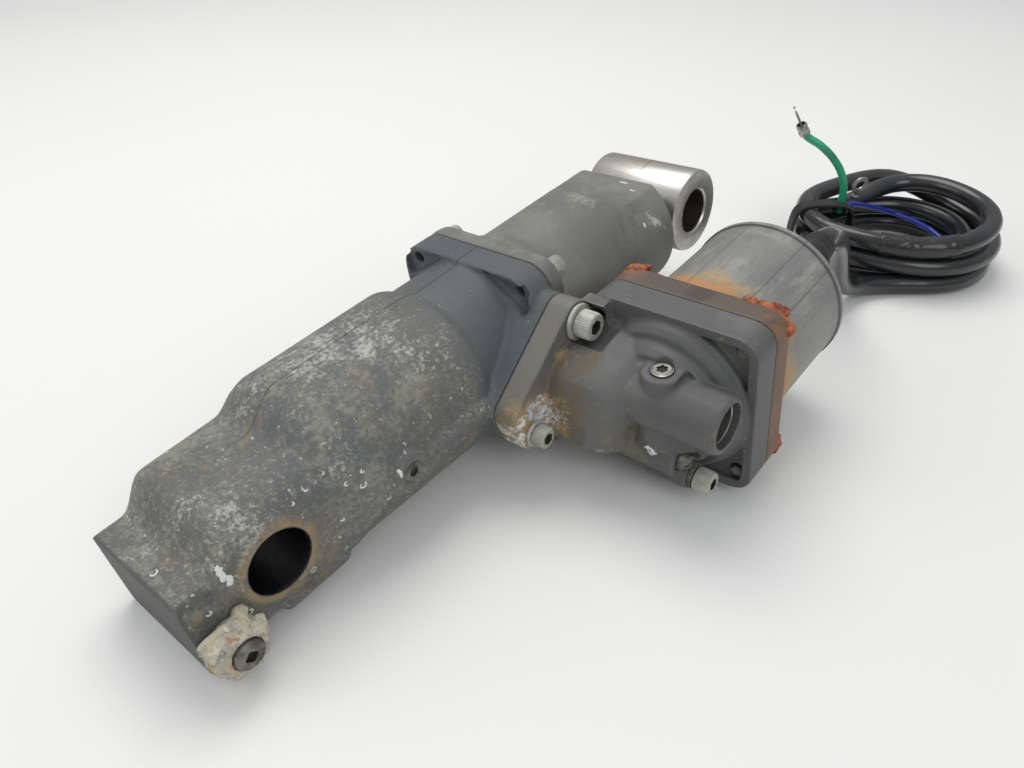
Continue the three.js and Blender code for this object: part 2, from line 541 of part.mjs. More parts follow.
// ---- Motor ----
function addMotor() {
  const square = roundedBox(
    MOTOR_X - PLATE_HALF, MOTOR_X + PLATE_HALF, MOTOR_Z - PLATE_HALF, MOTOR_Z + PLATE_HALF, PLATE_CORNER,
  );
  const screwPlaces = SCREW_SIGNS.map(([sx, sz]) => [
    MOTOR_X + sx * MOTOR_SCREW_PITCH, MOTOR_Z + sz * MOTOR_SCREW_PITCH,
  ]);
  const adapter = cut(
    prism('y', square, PLATE_FAR + GAP, ADAPTER_FAR),
    bar('y', 11.3, 20, 40, MOTOR, 20),
    bar('y', 13.3, 27, 40, MOTOR, 24),
    ...screwPlaces.map((place) => bar('y', 3.2, 20, 40, place, 16)),
  );
  add('adapter_plate', adapter, BROWN_PLATE);
  for (const [index, [x, z]] of screwPlaces.entries()) {
    const screw = socketScrew({ headR: 4.7, headHigh: 6, shankR: 2.9, length: 21.6, socketR: 2.6, socketDeep: 3 });
    add(`motor_screw_${index + 1}`, screw, ZINC, [x, ADAPTER_FAR + GAP + 6, z]);
  }
  add('shaft_seal', ring('y', 4.3, 11, 22.6, 26.7, MOTOR, 20), RUBBER);
  add('drive_bearing', ring('y', 5.2, 13, 27.3, 33.5, MOTOR, 24), STEEL);
  const canFrom = ADAPTER_FAR + GAP;
  add('motor_can', ring('y', MOTOR_R - CAN_WALL, MOTOR_R, canFrom, CAN_FAR, MOTOR, 32), MOTOR_PAINT);
  const cap = cut(
    turned([
      [0, CAN_FAR + GAP], [MOTOR_R + 0.9, CAN_FAR + GAP], [MOTOR_R + 0.9, 99], [MOTOR_R - 0.6, 100.6],
      [36.6, 102.6], [33.5, CAP_FAR], [0, CAP_FAR],
    ], MOTOR, 32),
    bar('y', 9.3, CAN_FAR - 1, 101.3, MOTOR, 20),
    bar('y', CABLE_R + 2 * GAP, CAN_FAR - 1, CAP_FAR + 1, GLAND, 20),
  );
  const holderRing = ring('y', 24.9, 36.3, 88, CAN_FAR + 1, MOTOR, 24);
  const window = bar('y', CABLE_R + 2 * GAP, 85, CAP_FAR + 1, GLAND, 20);
  add('motor_end_cap', cut(join(cap, holderRing), window), MOTOR_PAINT);
  for (const [name, side] of [['magnet_left', Math.PI], ['magnet_right', 0]]) {
    const shape = new THREE.Shape();
    shape.absarc(0, 0, 36.3, side - 1.1, side + 1.1, false);
    shape.absarc(0, 0, 31.8, side + 1.1, side - 1.1, true);
    add(name, prism('y', shape, 42, 86), MAGNET, [MOTOR_X, 0, MOTOR_Z]);
  }
  addArmature();
}

// Where the cable leaves the motor's end cap, as (x, z).
const GLAND = [MOTOR_X + 17, MOTOR_Z + 22];

function addArmature() {
  const shaft = join(
    bar('y', 4, 19, 27.5, [0, 0], 16),
    bar('y', 5, 27, 100.6, [0, 0], 20),
  );
  const place = [MOTOR_X, 0, MOTOR_Z];
  add('armature_shaft', shaft, STEEL, place);
  const coupling = cut(
    bar('y', 7.6, 15.6, 21.8, [0, 0], 20),
    bar('y', 3.7, 15, 18.85, [0, 0], 16),
    bar('y', 4.3, 18.8, 22, [0, 0], 16),
  );
  add('drive_coupling', coupling, STEEL, place);
  const slots = [];
  const bars = [];
  for (let i = 0; i < 12; i += 1) {
    const turn = (i * Math.PI) / 6;
    const turnedBox = (x0, x1, wide, y0, y1) => toSolid(
      new THREE.BoxGeometry(x1 - x0, y1 - y0, wide).translate((x0 + x1) / 2, (y0 + y1) / 2, 0).rotateY(turn),
    );
    slots.push(turnedBox(18, 40, 6, 40, 90));
    bars.push(turnedBox(18.5, 28, 5.2, 44, 82));
  }
  const core = cut(bar('y', 30.4, 46, 80, [0, 0], 32), bar('y', 5.3, 40, 90, [0, 0], 16), ...slots);
  add('armature_core', core, STEEL, place);
  const winding = join(
    ring('y', 13, 28, 39.5, 45.6, [0, 0], 24),
    ring('y', 13, 28, 80.4, 86.4, [0, 0], 24),
    ...bars,
  );
  add('armature_winding', winding, COPPER, place);
  add('commutator', ring('y', 5.3, 11.6, 87.4, 95.4, [0, 0], 24), COPPER, place);
  for (const [name, side] of [['brush_left', -1], ['brush_right', 1]]) {
    const near = MOTOR_X + side * 12;
    const far = MOTOR_X + side * 24;
    const brush = block(Math.min(near, far), Math.max(near, far), 88.4, 94.4, MOTOR_Z - 3.5, MOTOR_Z + 3.5);
    add(name, brush, CARBON);
  }
  add('rear_bearing', ring('y', 5.2, 9, CAN_FAR + 2 * GAP, 101, MOTOR, 20), STEEL);
}

// ---- Cable: gland on the motor, lead down to the surface, tied coil and earth wire ----
// These routes are in the outer frame, in which the surface is z = 0.
const LEAD_POINTS = [
  [63.1, 131.5, 77.4], [63.1, 141, 78.1], [62.8, 152, 77], [62.2, 163.5, 72.3], [61.2, 174.5, 63.3],
  [60, 184.5, 51], [58.8, 193.5, 37.5], [57.6, 204, 24], [56.9, 215.5, 14], [57.3, 227.5, 8.4], [58.2, 234, 7],
];
const EARTH_POINTS = [
  [25.8, 279.5, 36.5], [25.8, 279.5, 44], [23.5, 278, 54], [17.5, 274, 65], [8, 268.5, 74.5], [-2, 263.5, 81],
];
const TERMINAL_TO = [-9, 256, 97];

function tube(points, radius, sides, steps) {
  const path = new THREE.CatmullRomCurve3(points.map((point) => new THREE.Vector3(...point)));
  const section = new THREE.Shape();
  for (let side = 0; side < sides; side += 1) {
    const turn = (2 * Math.PI * side) / sides;
    const [u, v] = [radius * Math.cos(turn), radius * Math.sin(turn)];
    if (side === 0) section.moveTo(u, v);
    else section.lineTo(u, v);
  }
  section.closePath();
  return toSolid(new THREE.ExtrudeGeometry(section, { steps, bevelEnabled: false, extrudePath: path }));
}

function addGland() {
  const gland = cut(
    turned([[0, -5], [CABLE_R + GAP, -5], [CABLE_R + GAP, 0.3], [11, 0.3], [11, 3], [8.6, 6], [7.6, 12], [0, 12]]),
    bar('y', CABLE_R - 1.5, -8, 14, [0, 0], 20),
  );
  add('cable_gland', gland, RUBBER, [GLAND[0], CAP_FAR, GLAND[1]]);
}

function addCable() {
  const free = [[0, 0, 0], 'y', assembly];
  add('cable_lead', tube(LEAD_POINTS, CABLE_R, 12, 9), PVC, ...free);
  const outline = around([COIL_TIED, COIL_WIDE]);
  const coil = cut(prism('z', outline, 0, COIL_HIGH, 9), prism('z', around(COIL_HOLE), -1, COIL_HIGH + 1, 6));
  add('cable_coil', coil, PVC, ...free);
  add('ground_wire', tube(EARTH_POINTS, EARTH_R, 8, 7), GREEN_PVC, ...free);
  addTerminal();
}

// Crimped terminal on the end of the earth wire: a barrel round the wire and a flat tongue with a hole.
function addTerminal() {
  const from = new THREE.Vector3(...EARTH_POINTS.at(-1));
  const to = new THREE.Vector3(...TERMINAL_TO);
  const away = to.clone().sub(from).normalize();
  const barrel = bar('y', EARTH_R + 0.6, 1.6, 8, [0, 0], 12);
  const tongue = cut(block(-3.6, 3.6, 5.5, 18, -0.7, 0.7), bar('z', 2, -3, 3, [0, 13.5], 12));
  const geometry = toGeometry(join(barrel, tongue));
  geometry.applyQuaternion(new THREE.Quaternion().setFromUnitVectors(new THREE.Vector3(0, 1, 0), away));
  geometry.translate(...from.toArray());
  add('ground_terminal', toSolid(geometry), TINNED, [0, 0, 0], 'y', assembly);
}

addCylinder();
addRod();
addLowerFittings();
add('pump_housing', pumpHousing(), SIDE_CAST);
addPumpFittings();
addPump();
addMotor();
addGland();

// The unit lies on its three lowest corners, with the middle of its box over the origin.
unit.rotation.set(THREE.MathUtils.degToRad(LIE_PITCH), THREE.MathUtils.degToRad(LIE_ROLL), 0);
const lying = new THREE.Box3().setFromObject(unit, true);
unit.position.set(-(lying.min.x + lying.max.x) / 2, -(lying.min.y + lying.max.y) / 2, -lying.min.z);
addCable();

export default assembly;
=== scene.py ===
"""Weathered electro-hydraulic tilt cylinder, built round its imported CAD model.

Shapes are drawn in the unit frame, in millimetres: origin on the cylinder axis at the joint of the two castings,
+Y to the rod eye, +X to the pump side. TO_ROW takes them to the row frame, in metres, lying on the surface z = 0.
"""
import json
import math
import random

import bmesh
import bpy
from mathutils import Matrix, Vector, noise
from mathutils.bvhtree import BVHTree


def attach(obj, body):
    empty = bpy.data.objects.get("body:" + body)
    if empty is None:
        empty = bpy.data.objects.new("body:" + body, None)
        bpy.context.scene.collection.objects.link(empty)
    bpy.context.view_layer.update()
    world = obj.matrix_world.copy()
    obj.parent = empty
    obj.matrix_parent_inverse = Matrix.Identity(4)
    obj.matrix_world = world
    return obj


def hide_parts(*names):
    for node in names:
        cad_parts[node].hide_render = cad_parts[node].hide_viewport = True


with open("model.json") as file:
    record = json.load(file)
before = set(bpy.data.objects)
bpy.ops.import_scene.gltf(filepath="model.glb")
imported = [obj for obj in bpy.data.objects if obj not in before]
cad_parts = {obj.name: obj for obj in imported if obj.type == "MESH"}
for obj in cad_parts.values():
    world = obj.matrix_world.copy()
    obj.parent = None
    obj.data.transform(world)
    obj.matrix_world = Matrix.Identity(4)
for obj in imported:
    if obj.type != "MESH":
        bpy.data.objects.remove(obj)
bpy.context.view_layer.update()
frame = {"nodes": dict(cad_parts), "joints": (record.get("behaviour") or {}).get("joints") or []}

MM = 0.001
SEED = 7

# ---- The unit frame ----
LIE_PITCH = math.radians(5.22)
LIE_ROLL = math.radians(-5.13)
MOTOR = MX, MZ = (96.7, -11.9)  # motor axis, as (x, z)
JOINTS = {joint["name"]: joint for joint in frame["joints"]}
TURN = Matrix.Rotation(LIE_PITCH, 4, "X") @ Matrix.Rotation(LIE_ROLL, 4, "Y")
MOTOR_MIDDLE = Vector((MOTOR[0], 60, MOTOR[1])) * MM
SHIFT = Vector(JOINTS["armature_spin"]["pos_m"]) - TURN @ MOTOR_MIDDLE
TO_ROW = Matrix.Translation(SHIFT) @ TURN @ Matrix.Scale(MM, 4)


def at(x, y, z):
    """A point of the unit frame, in the row frame."""
    return TO_ROW @ Vector((x, y, z))


def toward(direction):
    """A direction of the unit frame, in the row frame."""
    return TURN.to_3x3() @ Vector(direction)


# ---- Places and sizes, in millimetres ----
SIGNS = ((-1, 1), (1, 1), (1, -1), (-1, -1))  # the four corners of a square flange
SCREW_PITCH, MOTOR_PITCH = 32.3, 33.4  # half the distance between neighbouring screws
FLANGE_SCREWS = [(sx * SCREW_PITCH, sz * SCREW_PITCH) for sx, sz in SIGNS]
MOTOR_SCREWS = [(MX + sx * MOTOR_PITCH, MZ + sz * MOTOR_PITCH) for sx, sz in SIGNS]
PLATE = 41.6  # half the side of the pump's and the adapter's square plates
PAD_FACE, SIDE_FLANGE = 46, 58  # x of the two faces of the pump's side flange
EYE_Y = 141.8
BORE_R = 25.3
# Centres, as (y, z), of what runs along X.
PIN, ANODE, DRAIN = (-160.2, 0), (-188, -14), (-99, -1)
BOLT_TOP, BOLT_NEAR, BOLT_LOW = (-5.4, 21.5), (-42.2, -16.5), (-8.5, -32)
PORT, VALVE, KEEPER = (-9.2, -1.5), (-11.2, -28.5), (-7.2, -40.5)
FILLER = (103.8, -9.2)  # as (x, y)


# ---- Camera ----
def make_camera():
    camera = bpy.data.objects.new("camera", bpy.data.cameras.new("camera"))
    bpy.context.scene.collection.objects.link(camera)
    right = Vector((0.7660, 0.6428, -0.0003))
    up = Vector((-0.3958, 0.4721, 0.7877))
    back = right.cross(up)
    place = Matrix((right, up, back)).transposed().to_4x4()
    place.translation = Vector((0.1738, -0.2339, 0.2674))
    camera.matrix_world = place
    camera.data.lens = 28.06
    camera.data.sensor_width = 36
    camera.data.clip_start = 0.01
    bpy.context.scene.camera = camera


make_camera()


# ---- Materials ----
class Paint:
    """A procedural material made of layers, each a colour laid over the last where its mask says."""

    def __init__(self, name, color, roughness, metallic=0.0, specular=0.5):
        self.material = bpy.data.materials.new(name)
        self.material.use_nodes = True
        self.tree = self.material.node_tree
        self.shader = self.tree.nodes["Principled BSDF"]
        self.shader.inputs["Metallic"].default_value = metallic
        self.shader.inputs["Specular IOR Level"].default_value = specular
        self.color = (*color, 1)
        self.rough = roughness
        self.height = None
        self.coords = self.new("ShaderNodeTexCoord").outputs["Object"]

    def new(self, kind, **settings):
        node = self.tree.nodes.new(kind)
        for key, setting in settings.items():
            setattr(node, key, setting)
        return node

    def feed(self, socket, source):
        if isinstance(source, bpy.types.NodeSocket):
            self.tree.links.new(source, socket)
        else:
            socket.default_value = source

    def math(self, operation, first, second=0.0, clamp=True):
        node = self.new("ShaderNodeMath", operation=operation, use_clamp=clamp)
        self.feed(node.inputs[0], first)
        self.feed(node.inputs[1], second)
        return node.outputs[0]

    def raw(self, operation, first, second=0.0):
        return self.math(operation, first, second, False)

    def both(self, first, second):
        return self.math("MULTIPLY", first, second)

    def dot(self, source, axis):
        node = self.new("ShaderNodeVectorMath", operation="DOT_PRODUCT")
        self.feed(node.inputs[0], source)
        node.inputs[1].default_value = axis
        return node.outputs["Value"]

    def stretched(self, scale):
        node = self.new("ShaderNodeMapping")
        self.feed(node.inputs["Vector"], self.coords)
        node.inputs["Scale"].default_value = scale
        return node.outputs[0]

    def noise(self, size_mm, detail=3.0, rough=0.55, stretch=None, shift=0.0):
        """Noise whose blobs are about size_mm across."""
        node = self.new("ShaderNodeTexNoise", noise_dimensions="4D")
        self.feed(node.inputs["Vector"], self.stretched(stretch) if stretch else self.coords)
        node.inputs["W"].default_value = shift
        node.inputs["Scale"].default_value = 500 / size_mm
        node.inputs["Detail"].default_value = detail
        node.inputs["Roughness"].default_value = rough
        return node.outputs[0]

    def patch(self, low, high, *size, **shape):
        """Blotches of noise: 0 below low, 1 above high."""
        return self.step(self.noise(*size, **shape), low, high)

    def step(self, source, low, high):
        """0 below low, 1 above high; the other way round when low is the larger."""
        node = self.new("ShaderNodeMapRange", interpolation_type="SMOOTHSTEP")
        node.inputs["From Min"].default_value = min(low, high)
        node.inputs["From Max"].default_value = max(low, high)
        node.inputs["To Min"].default_value = 0.0 if low < high else 1.0
        node.inputs["To Max"].default_value = 1.0 if low < high else 0.0
        self.feed(node.inputs["Value"], source)
        return node.outputs[0]

    def near(self, point, inner, outer):
        """1 within inner mm of a unit-frame point, falling to 0 at outer mm."""
        node = self.new("ShaderNodeVectorMath", operation="DISTANCE")
        self.feed(node.inputs[0], self.coords)
        node.inputs[1].default_value = at(*point)
        return self.step(node.outputs["Value"], outer * MM, inner * MM)

    def along(self, direction, low, high):
        """A ramp between two distances in mm along a unit-frame direction."""
        axis = toward(direction)
        start = SHIFT.dot(axis)
        return self.step(self.dot(self.coords, axis), start + low * MM, start + high * MM)

    def facing(self, direction, low, high):
        """1 where the surface faces a unit-frame direction."""
        normal = self.new("ShaderNodeTexCoord").outputs["Normal"]
        return self.step(self.dot(normal, toward(direction)), low, high)

    def edges(self, low=0.52, high=0.60):
        pointy = self.new("ShaderNodeNewGeometry").outputs["Pointiness"]
        return self.step(pointy, low, high)

    def layer(self, mask, color, roughness=None, weight=None):
        if weight is not None:
            mask = self.both(mask, weight)
        node = self.new("ShaderNodeMix", data_type="RGBA")
        self.feed(node.inputs["Factor"], mask)
        self.feed(node.inputs["A"], self.color)
        node.inputs["B"].default_value = (*color, 1)
        self.color = node.outputs["Result"]
        if roughness is not None:
            node = self.new("ShaderNodeMix", data_type="FLOAT")
            self.feed(node.inputs["Factor"], mask)
            self.feed(node.inputs["A"], self.rough)
            node.inputs["B"].default_value = roughness
            self.rough = node.outputs["Result"]
        return self

    def relief(self, source, amount):
        """Adds amount times source to the surface's height, in mm."""
        scaled = self.raw("MULTIPLY", source, amount)
        self.height = scaled if self.height is None else self.raw("ADD", self.height, scaled)
        return self

    def finish(self, strength=1.0):
        self.feed(self.shader.inputs["Base Color"], self.color)
        self.feed(self.shader.inputs["Roughness"], self.rough)
        if self.height is not None:
            bump = self.new("ShaderNodeBump")
            bump.inputs["Strength"].default_value = strength
            bump.inputs["Distance"].default_value = MM
            self.feed(bump.inputs["Height"], self.height)
            self.feed(self.shader.inputs["Normal"], bump.outputs["Normal"])
        return self.material


CHARCOAL = (0.098, 0.104, 0.108)
CHALK = (0.56, 0.56, 0.50)
LICHEN = (0.275, 0.268, 0.218)
OLIVE = (0.150, 0.138, 0.098)
OCHRE = (0.36, 0.245, 0.120)
SALT = (0.74, 0.74, 0.72)
BLUE_GREY = (0.072, 0.085, 0.104)
DARK = (0.040, 0.043, 0.046)


def cast_grain(paint):
    paint.relief(paint.noise(1.1, 2.0), 0.16).relief(paint.noise(7, 2.0), 0.35)
    return paint


def speckle(paint, region, color, size=1.3, low=0.62, high=0.70, shift=0.0):
    """Small crusty spots inside a region; they stand a little proud."""
    spots = paint.patch(low, high, size, 3.0, 0.7, shift=shift)
    if region is not None:
        spots = paint.both(spots, region)
    paint.layer(spots, color, 0.85)
    paint.relief(spots, 0.25)
    return paint


def patina(paint, color, grain, cloud, low, high, weight=1.0, region=None, shift=0.0, roughness=0.8):
    """A deposit of fine grains, denser where a broad cloud is stronger."""
    fine = paint.noise(grain, 7.0, 0.85, shift=shift)
    broad = paint.noise(cloud, 5.0, 0.7, shift=shift + 20.0)
    if region is not None:
        broad = paint.raw("SUBTRACT", broad, paint.raw("MULTIPLY", paint.raw("SUBTRACT", 1.0, region), 0.35))
    both = paint.raw("ADD", paint.raw("MULTIPLY", fine, 1.25), paint.raw("MULTIPLY", broad, 1.10))
    mask = paint.step(both, low, high)
    if weight < 1.0:
        mask = paint.both(mask, weight)
    paint.layer(mask, color, roughness)
    paint.relief(mask, 0.08)
    return paint


def lower_paint():
    paint = Paint("lower_casting_paint", CHARCOAL, 0.6, 0.0, 0.45)
    dirty = paint.along((0, 1, 0), -26, -62)
    top = paint.facing((0.1, 0, 1), -0.6, 0.5)
    side = paint.facing((1, 0, -0.1), 0.3, 0.95)
    paint.layer(paint.patch(0.40, 0.62, 26, 4.0), BLUE_GREY)
    paint.layer(dirty, (0.165, 0.168, 0.160), 0.7, weight=0.45)
    patina(paint, OLIVE, 2.0, 28, 1.12, 1.40, 0.75, dirty, 8.0)
    patina(paint, LICHEN, 1.4, 24, 1.10, 1.34, 0.9, dirty, 1.0)
    patina(paint, OCHRE, 1.6, 16, 1.24, 1.46, 0.55, dirty, 5.0)
    patina(paint, CHALK, 1.0, 18, 1.22, 1.40, 0.85, paint.both(dirty, top), 12.0)
    patina(paint, CHARCOAL, 1.8, 34, 1.24, 1.50, 0.85, None, 30.0, 0.6)
    speckle(paint, paint.math("MAXIMUM", dirty, 0.25), CHALK, 1.5, 0.64, 0.70, 2.0)
    speckle(paint, dirty, SALT, 0.9, 0.67, 0.72, 4.0)
    patina(paint, OCHRE, 1.6, 12, 1.10, 1.36, 0.55, paint.near((36, -150, -4), 14, 40), 15.0)
    patina(paint, DARK, 3.0, 20, 1.20, 1.50, 0.6, paint.both(side, dirty), 17.0, 0.6)
    ring = paint.near((35, *PIN), 14.5, 19.5)
    stain = paint.both(ring, paint.patch(0.30, 0.62, 2.0, 5.0, 0.7))
    paint.layer(stain, OCHRE, 0.8, weight=0.8)
    foot = paint.near((40, -55, -32), 10, 36)
    paint.layer(paint.both(foot, paint.patch(0.46, 0.66, 5, 5.0, 0.7)), OCHRE, 0.8)
    end = paint.along((0, 1, 0), -197.0, -198.6)
    paint.layer(end, (0.075, 0.077, 0.076), 0.6, weight=0.8)
    seam_line(paint)
    worn = paint.both(paint.edges(0.53, 0.58), paint.patch(0.40, 0.60, 4, 3.0))
    paint.layer(worn, (0.24, 0.24, 0.22), 0.6, weight=0.4)
    # Painted shade inside the pivot pin's bore.
    bore_shade(paint, PIN, 13.9)
    return cast_grain(paint).finish(0.8)


def bore_shade(paint, through, radius):
    """Painted shade: near-black, glossy colour inside a bore that runs along X, round a point (y, z)."""
    off = paint.new("ShaderNodeVectorMath", operation="SUBTRACT")
    paint.feed(off.inputs[0], paint.coords)
    off.inputs[1].default_value = at(0, *through)
    cross = paint.new("ShaderNodeVectorMath", operation="CROSS_PRODUCT")
    paint.feed(cross.inputs[0], off.outputs[0])
    cross.inputs[1].default_value = toward((1, 0, 0))
    length = paint.new("ShaderNodeVectorMath", operation="LENGTH")
    paint.feed(length.inputs[0], cross.outputs[0])
    inside = paint.step(length.outputs["Value"], (radius + 0.4) * MM, (radius - 0.3) * MM)
    # The near-black layer is painted shade, not a real coating.
    paint.layer(inside, (0.006, 0.007, 0.008), 0.18)


def seam_line(paint):
    """The mould's parting line, a fine dark crease along the top."""
    wobble = paint.raw("MULTIPLY", paint.raw("SUBTRACT", paint.noise(60, 1.0), 0.5), 0.005)
    axis = toward((1, 0, 0))
    offset = paint.raw("SUBTRACT", paint.dot(paint.coords, axis), SHIFT.dot(axis) - 2 * MM)
    across = paint.raw("ADD", offset, wobble)
    line = paint.step(paint.raw("ABSOLUTE", across), 0.40 * MM, 0.12 * MM)
    line = paint.both(line, paint.facing((0, 0, 1), 0.5, 0.8))
    line = paint.both(line, paint.along((0, 1, 0), -150, -130))
    paint.layer(line, (0.03, 0.032, 0.034), 0.7, weight=0.65)
    paint.relief(line, -0.5)


def upper_paint():
    paint = Paint("upper_casting_paint", (0.150, 0.150, 0.138), 0.52, 0.0, 0.45)
    paint.layer(paint.patch(0.44, 0.62, 30, 4.0), (0.205, 0.203, 0.186))
    patina(paint, (0.105, 0.106, 0.105), 3.0, 18, 1.20, 1.45, 0.6, None, 2.0, 0.55)
    flat = paint.facing((0, 0, 1), 0.80, 0.97)
    patina(paint, (0.245, 0.240, 0.190), 1.8, 12, 1.14, 1.36, 0.75, flat, 4.0)
    patina(paint, (0.33, 0.32, 0.26), 1.4, 8, 1.14, 1.34, 0.7, paint.near((6, 72, 38), 8, 26), 6.0)
    end = paint.along((0, 1, 0), 82, 108)
    patina(paint, SALT, 2.2, 7, 1.36, 1.44, 1.0, end, 9.0)
    patina(paint, CHALK, 2.6, 9, 1.22, 1.32, 0.9, paint.near((31, 96, 17), 4, 22), 11.0)
    speckle(paint, None, CHALK, 1.0, 0.71, 0.75, 9.0)
    face = paint.along((0, 1, 0), 111.0, 111.9)
    paint.layer(face, (0.085, 0.087, 0.085), 0.6, weight=0.85)
    paint.layer(paint.edges(0.53, 0.58), (0.28, 0.28, 0.26), weight=0.35)
    return cast_grain(paint).finish(0.7)


def pump_paint():
    paint = Paint("pump_casting_paint", (0.100, 0.101, 0.099), 0.55, 0.0, 0.45)
    paint.layer(paint.patch(0.44, 0.60, 22, 4.0), (0.128, 0.130, 0.126))
    patina(paint, (0.068, 0.073, 0.080), 3.0, 16, 1.18, 1.45, 0.6, None, 2.0, 0.5)
    flange = paint.along((1, 0, 0), 60, 56)
    paint.layer(flange, (0.180, 0.172, 0.150), weight=0.8)
    arm = paint.near((66, -18, -12), 14, 42)
    patina(paint, (0.150, 0.112, 0.062), 2.4, 12, 0.98, 1.28, 0.85, arm, 4.0)
    patina(paint, (0.19, 0.17, 0.115), 1.6, 10, 1.04, 1.30, 0.8, paint.near((84, -16, -28), 10, 36), 5.0)
    lip = paint.near((60, -14, 10), 3, 22)
    patina(paint, OCHRE, 1.8, 8, 1.12, 1.38, 0.8, lip, 6.0)
    foot = paint.near((56, -42, -14), 8, 26)
    patina(paint, OCHRE, 1.8, 9, 0.92, 1.14, 0.9, foot, 7.0, 0.9)
    patina(paint, SALT, 1.5, 6, 1.10, 1.22, 1.0, foot, 3.0)
    patina(paint, (0.50, 0.54, 0.66), 1.6, 5, 1.14, 1.26, 0.9, paint.near((57, -38, -8), 4, 16), 13.0)
    patina(paint, CHALK, 1.8, 7, 1.34, 1.44, 1.0, paint.near((76, -16, -24), 12, 34), 14.0)
    speckle(paint, None, CHALK, 1.3, 0.70, 0.74, 11.0)
    rim = paint.both(paint.edges(0.52, 0.57), paint.patch(0.30, 0.60, 5, 3.0))
    paint.layer(rim, (0.27, 0.275, 0.26), 0.5, weight=0.55)
    # Painted shade inside the port's bore.
    bore_shade(paint, PORT, 10.0)
    return cast_grain(paint).finish(0.7)


def adapter_paint():
    paint = Paint("adapter_paint", (0.110, 0.084, 0.064), 0.55, 0.0, 0.4)
    paint.layer(paint.patch(0.42, 0.60, 14, 5.0, 0.65), (0.085, 0.074, 0.064))
    paint.layer(paint.near((99, 28, 30), 4, 8), (0.062, 0.040, 0.036), weight=0.6)
    for corner in ((58, 32, 28), (138, 32, 28), (138, 32, -52)):
        mask = paint.both(paint.near(corner, 4, 16), paint.patch(0.36, 0.56, 4, 4.0, 0.7))
        paint.layer(mask, (0.30, 0.13, 0.065), 0.7, weight=0.7)
    back = paint.both(paint.along((0, 1, 0), 31.5, 33.6), paint.patch(0.42, 0.60, 12, 4.0))
    paint.layer(back, (0.28, 0.15, 0.08), 0.7, weight=0.7)
    side = paint.both(paint.facing((1, 0, 0), 0.6, 0.95), paint.patch(0.36, 0.60, 14, 4.0, shift=4.0))
    paint.layer(side, (0.26, 0.14, 0.075), 0.7, weight=0.6)
    paint.layer(paint.edges(0.52, 0.57), (0.17, 0.12, 0.09), weight=0.5)
    return cast_grain(paint).finish(0.5)


def motor_paint():
    paint = Paint("motor_paint", (0.235, 0.236, 0.222), 0.48, 0.0, 0.45)
    long = (1.0, 0.25, 1.0)
    paint.layer(paint.patch(0.42, 0.62, 14, 6.0, 0.75, long), (0.180, 0.182, 0.176))
    paint.layer(paint.patch(0.50, 0.66, 5, 6.0, 0.75, long, 3.0), (0.31, 0.31, 0.29))
    blue = paint.patch(0.54, 0.66, 20, 5.0, 0.75, long, 6.0)
    paint.layer(blue, (0.120, 0.135, 0.160), weight=0.7)
    near = paint.along((0, 1, 0), 64, 36)
    patina(paint, (0.42, 0.29, 0.13), 3.0, 16, 0.94, 1.20, 0.85, near, 9.0, 0.65)
    patina(paint, (0.46, 0.22, 0.090), 2.4, 12, 0.93, 1.14, 0.85, paint.along((0, 1, 0), 50, 36), 3.0, 0.7)
    speckle(paint, None, CHALK, 1.0, 0.70, 0.74, 1.0)
    seams(paint)
    paint.relief(paint.noise(1.0, 3.0, 0.6), 0.12).relief(paint.noise(9, 2.0), 0.2)
    return paint.finish(0.6)


def seams(paint):
    """Fine drawn lines along the can."""
    for turn in (28, 52, -14):
        away = Vector((math.sin(math.radians(turn)), 0, math.cos(math.radians(turn))))
        across = Vector((away.z, 0, -away.x))
        axis = toward(across)
        middle = at(MX, 0, MZ).dot(axis)
        offset = paint.raw("SUBTRACT", paint.dot(paint.coords, axis), middle)
        line = paint.step(paint.raw("ABSOLUTE", offset), 0.4 * MM, 0.15 * MM)
        line = paint.both(line, paint.facing(away, 0.7, 0.9))
        paint.layer(line, (0.07, 0.072, 0.075), weight=0.6)
        paint.relief(line, -0.15)


def polished_metal():
    paint = Paint("polished_steel", (0.56, 0.545, 0.515), 0.34, 1.0)
    streaks = paint.noise(3, 4.0, 0.6, (0.12, 1.0, 1.0))
    paint.layer(paint.step(streaks, 0.40, 0.62), (0.46, 0.44, 0.405), 0.42)
    tarnish = paint.patch(0.50, 0.66, 18, 4.0, 0.6, shift=2.0)
    paint.layer(tarnish, (0.42, 0.37, 0.31), 0.46, weight=0.5)
    paint.layer(paint.patch(0.52, 0.66, 2.2, 5.0, 0.8, shift=6.0), (0.66, 0.645, 0.61), 0.5, weight=0.5)
    band = paint.both(paint.along((1, 0, 0), -1.2, -0.2), paint.along((1, 0, 0), 1.6, 0.4))
    band = paint.both(band, paint.patch(0.42, 0.60, 6, 4.0, 0.7, shift=9.0))
    paint.layer(band, (0.30, 0.21, 0.12), 0.6, weight=0.7)
    paint.relief(streaks, 0.02)
    return paint.finish(0.5)


def tarnished_bore():
    paint = Paint("tarnished_bore", (0.20, 0.155, 0.115), 0.42, 0.9)
    paint.layer(paint.patch(0.4, 0.6, 6, 4.0), (0.11, 0.085, 0.065), 0.55)
    paint.relief(paint.noise(1.5), 0.08)
    return paint.finish(0.5)


def zinc():
    paint = Paint("dull_zinc", (0.40, 0.40, 0.35), 0.45, 0.35)
    paint.layer(paint.patch(0.42, 0.62, 3, 4.0), (0.52, 0.52, 0.46), 0.5)
    paint.layer(paint.patch(0.58, 0.68, 5, 4.0, shift=3.0), (0.34, 0.33, 0.25), 0.6)
    speckle(paint, None, SALT, 1.0, 0.66, 0.72)
    paint.relief(paint.noise(0.8), 0.05)
    return paint.finish(0.6)


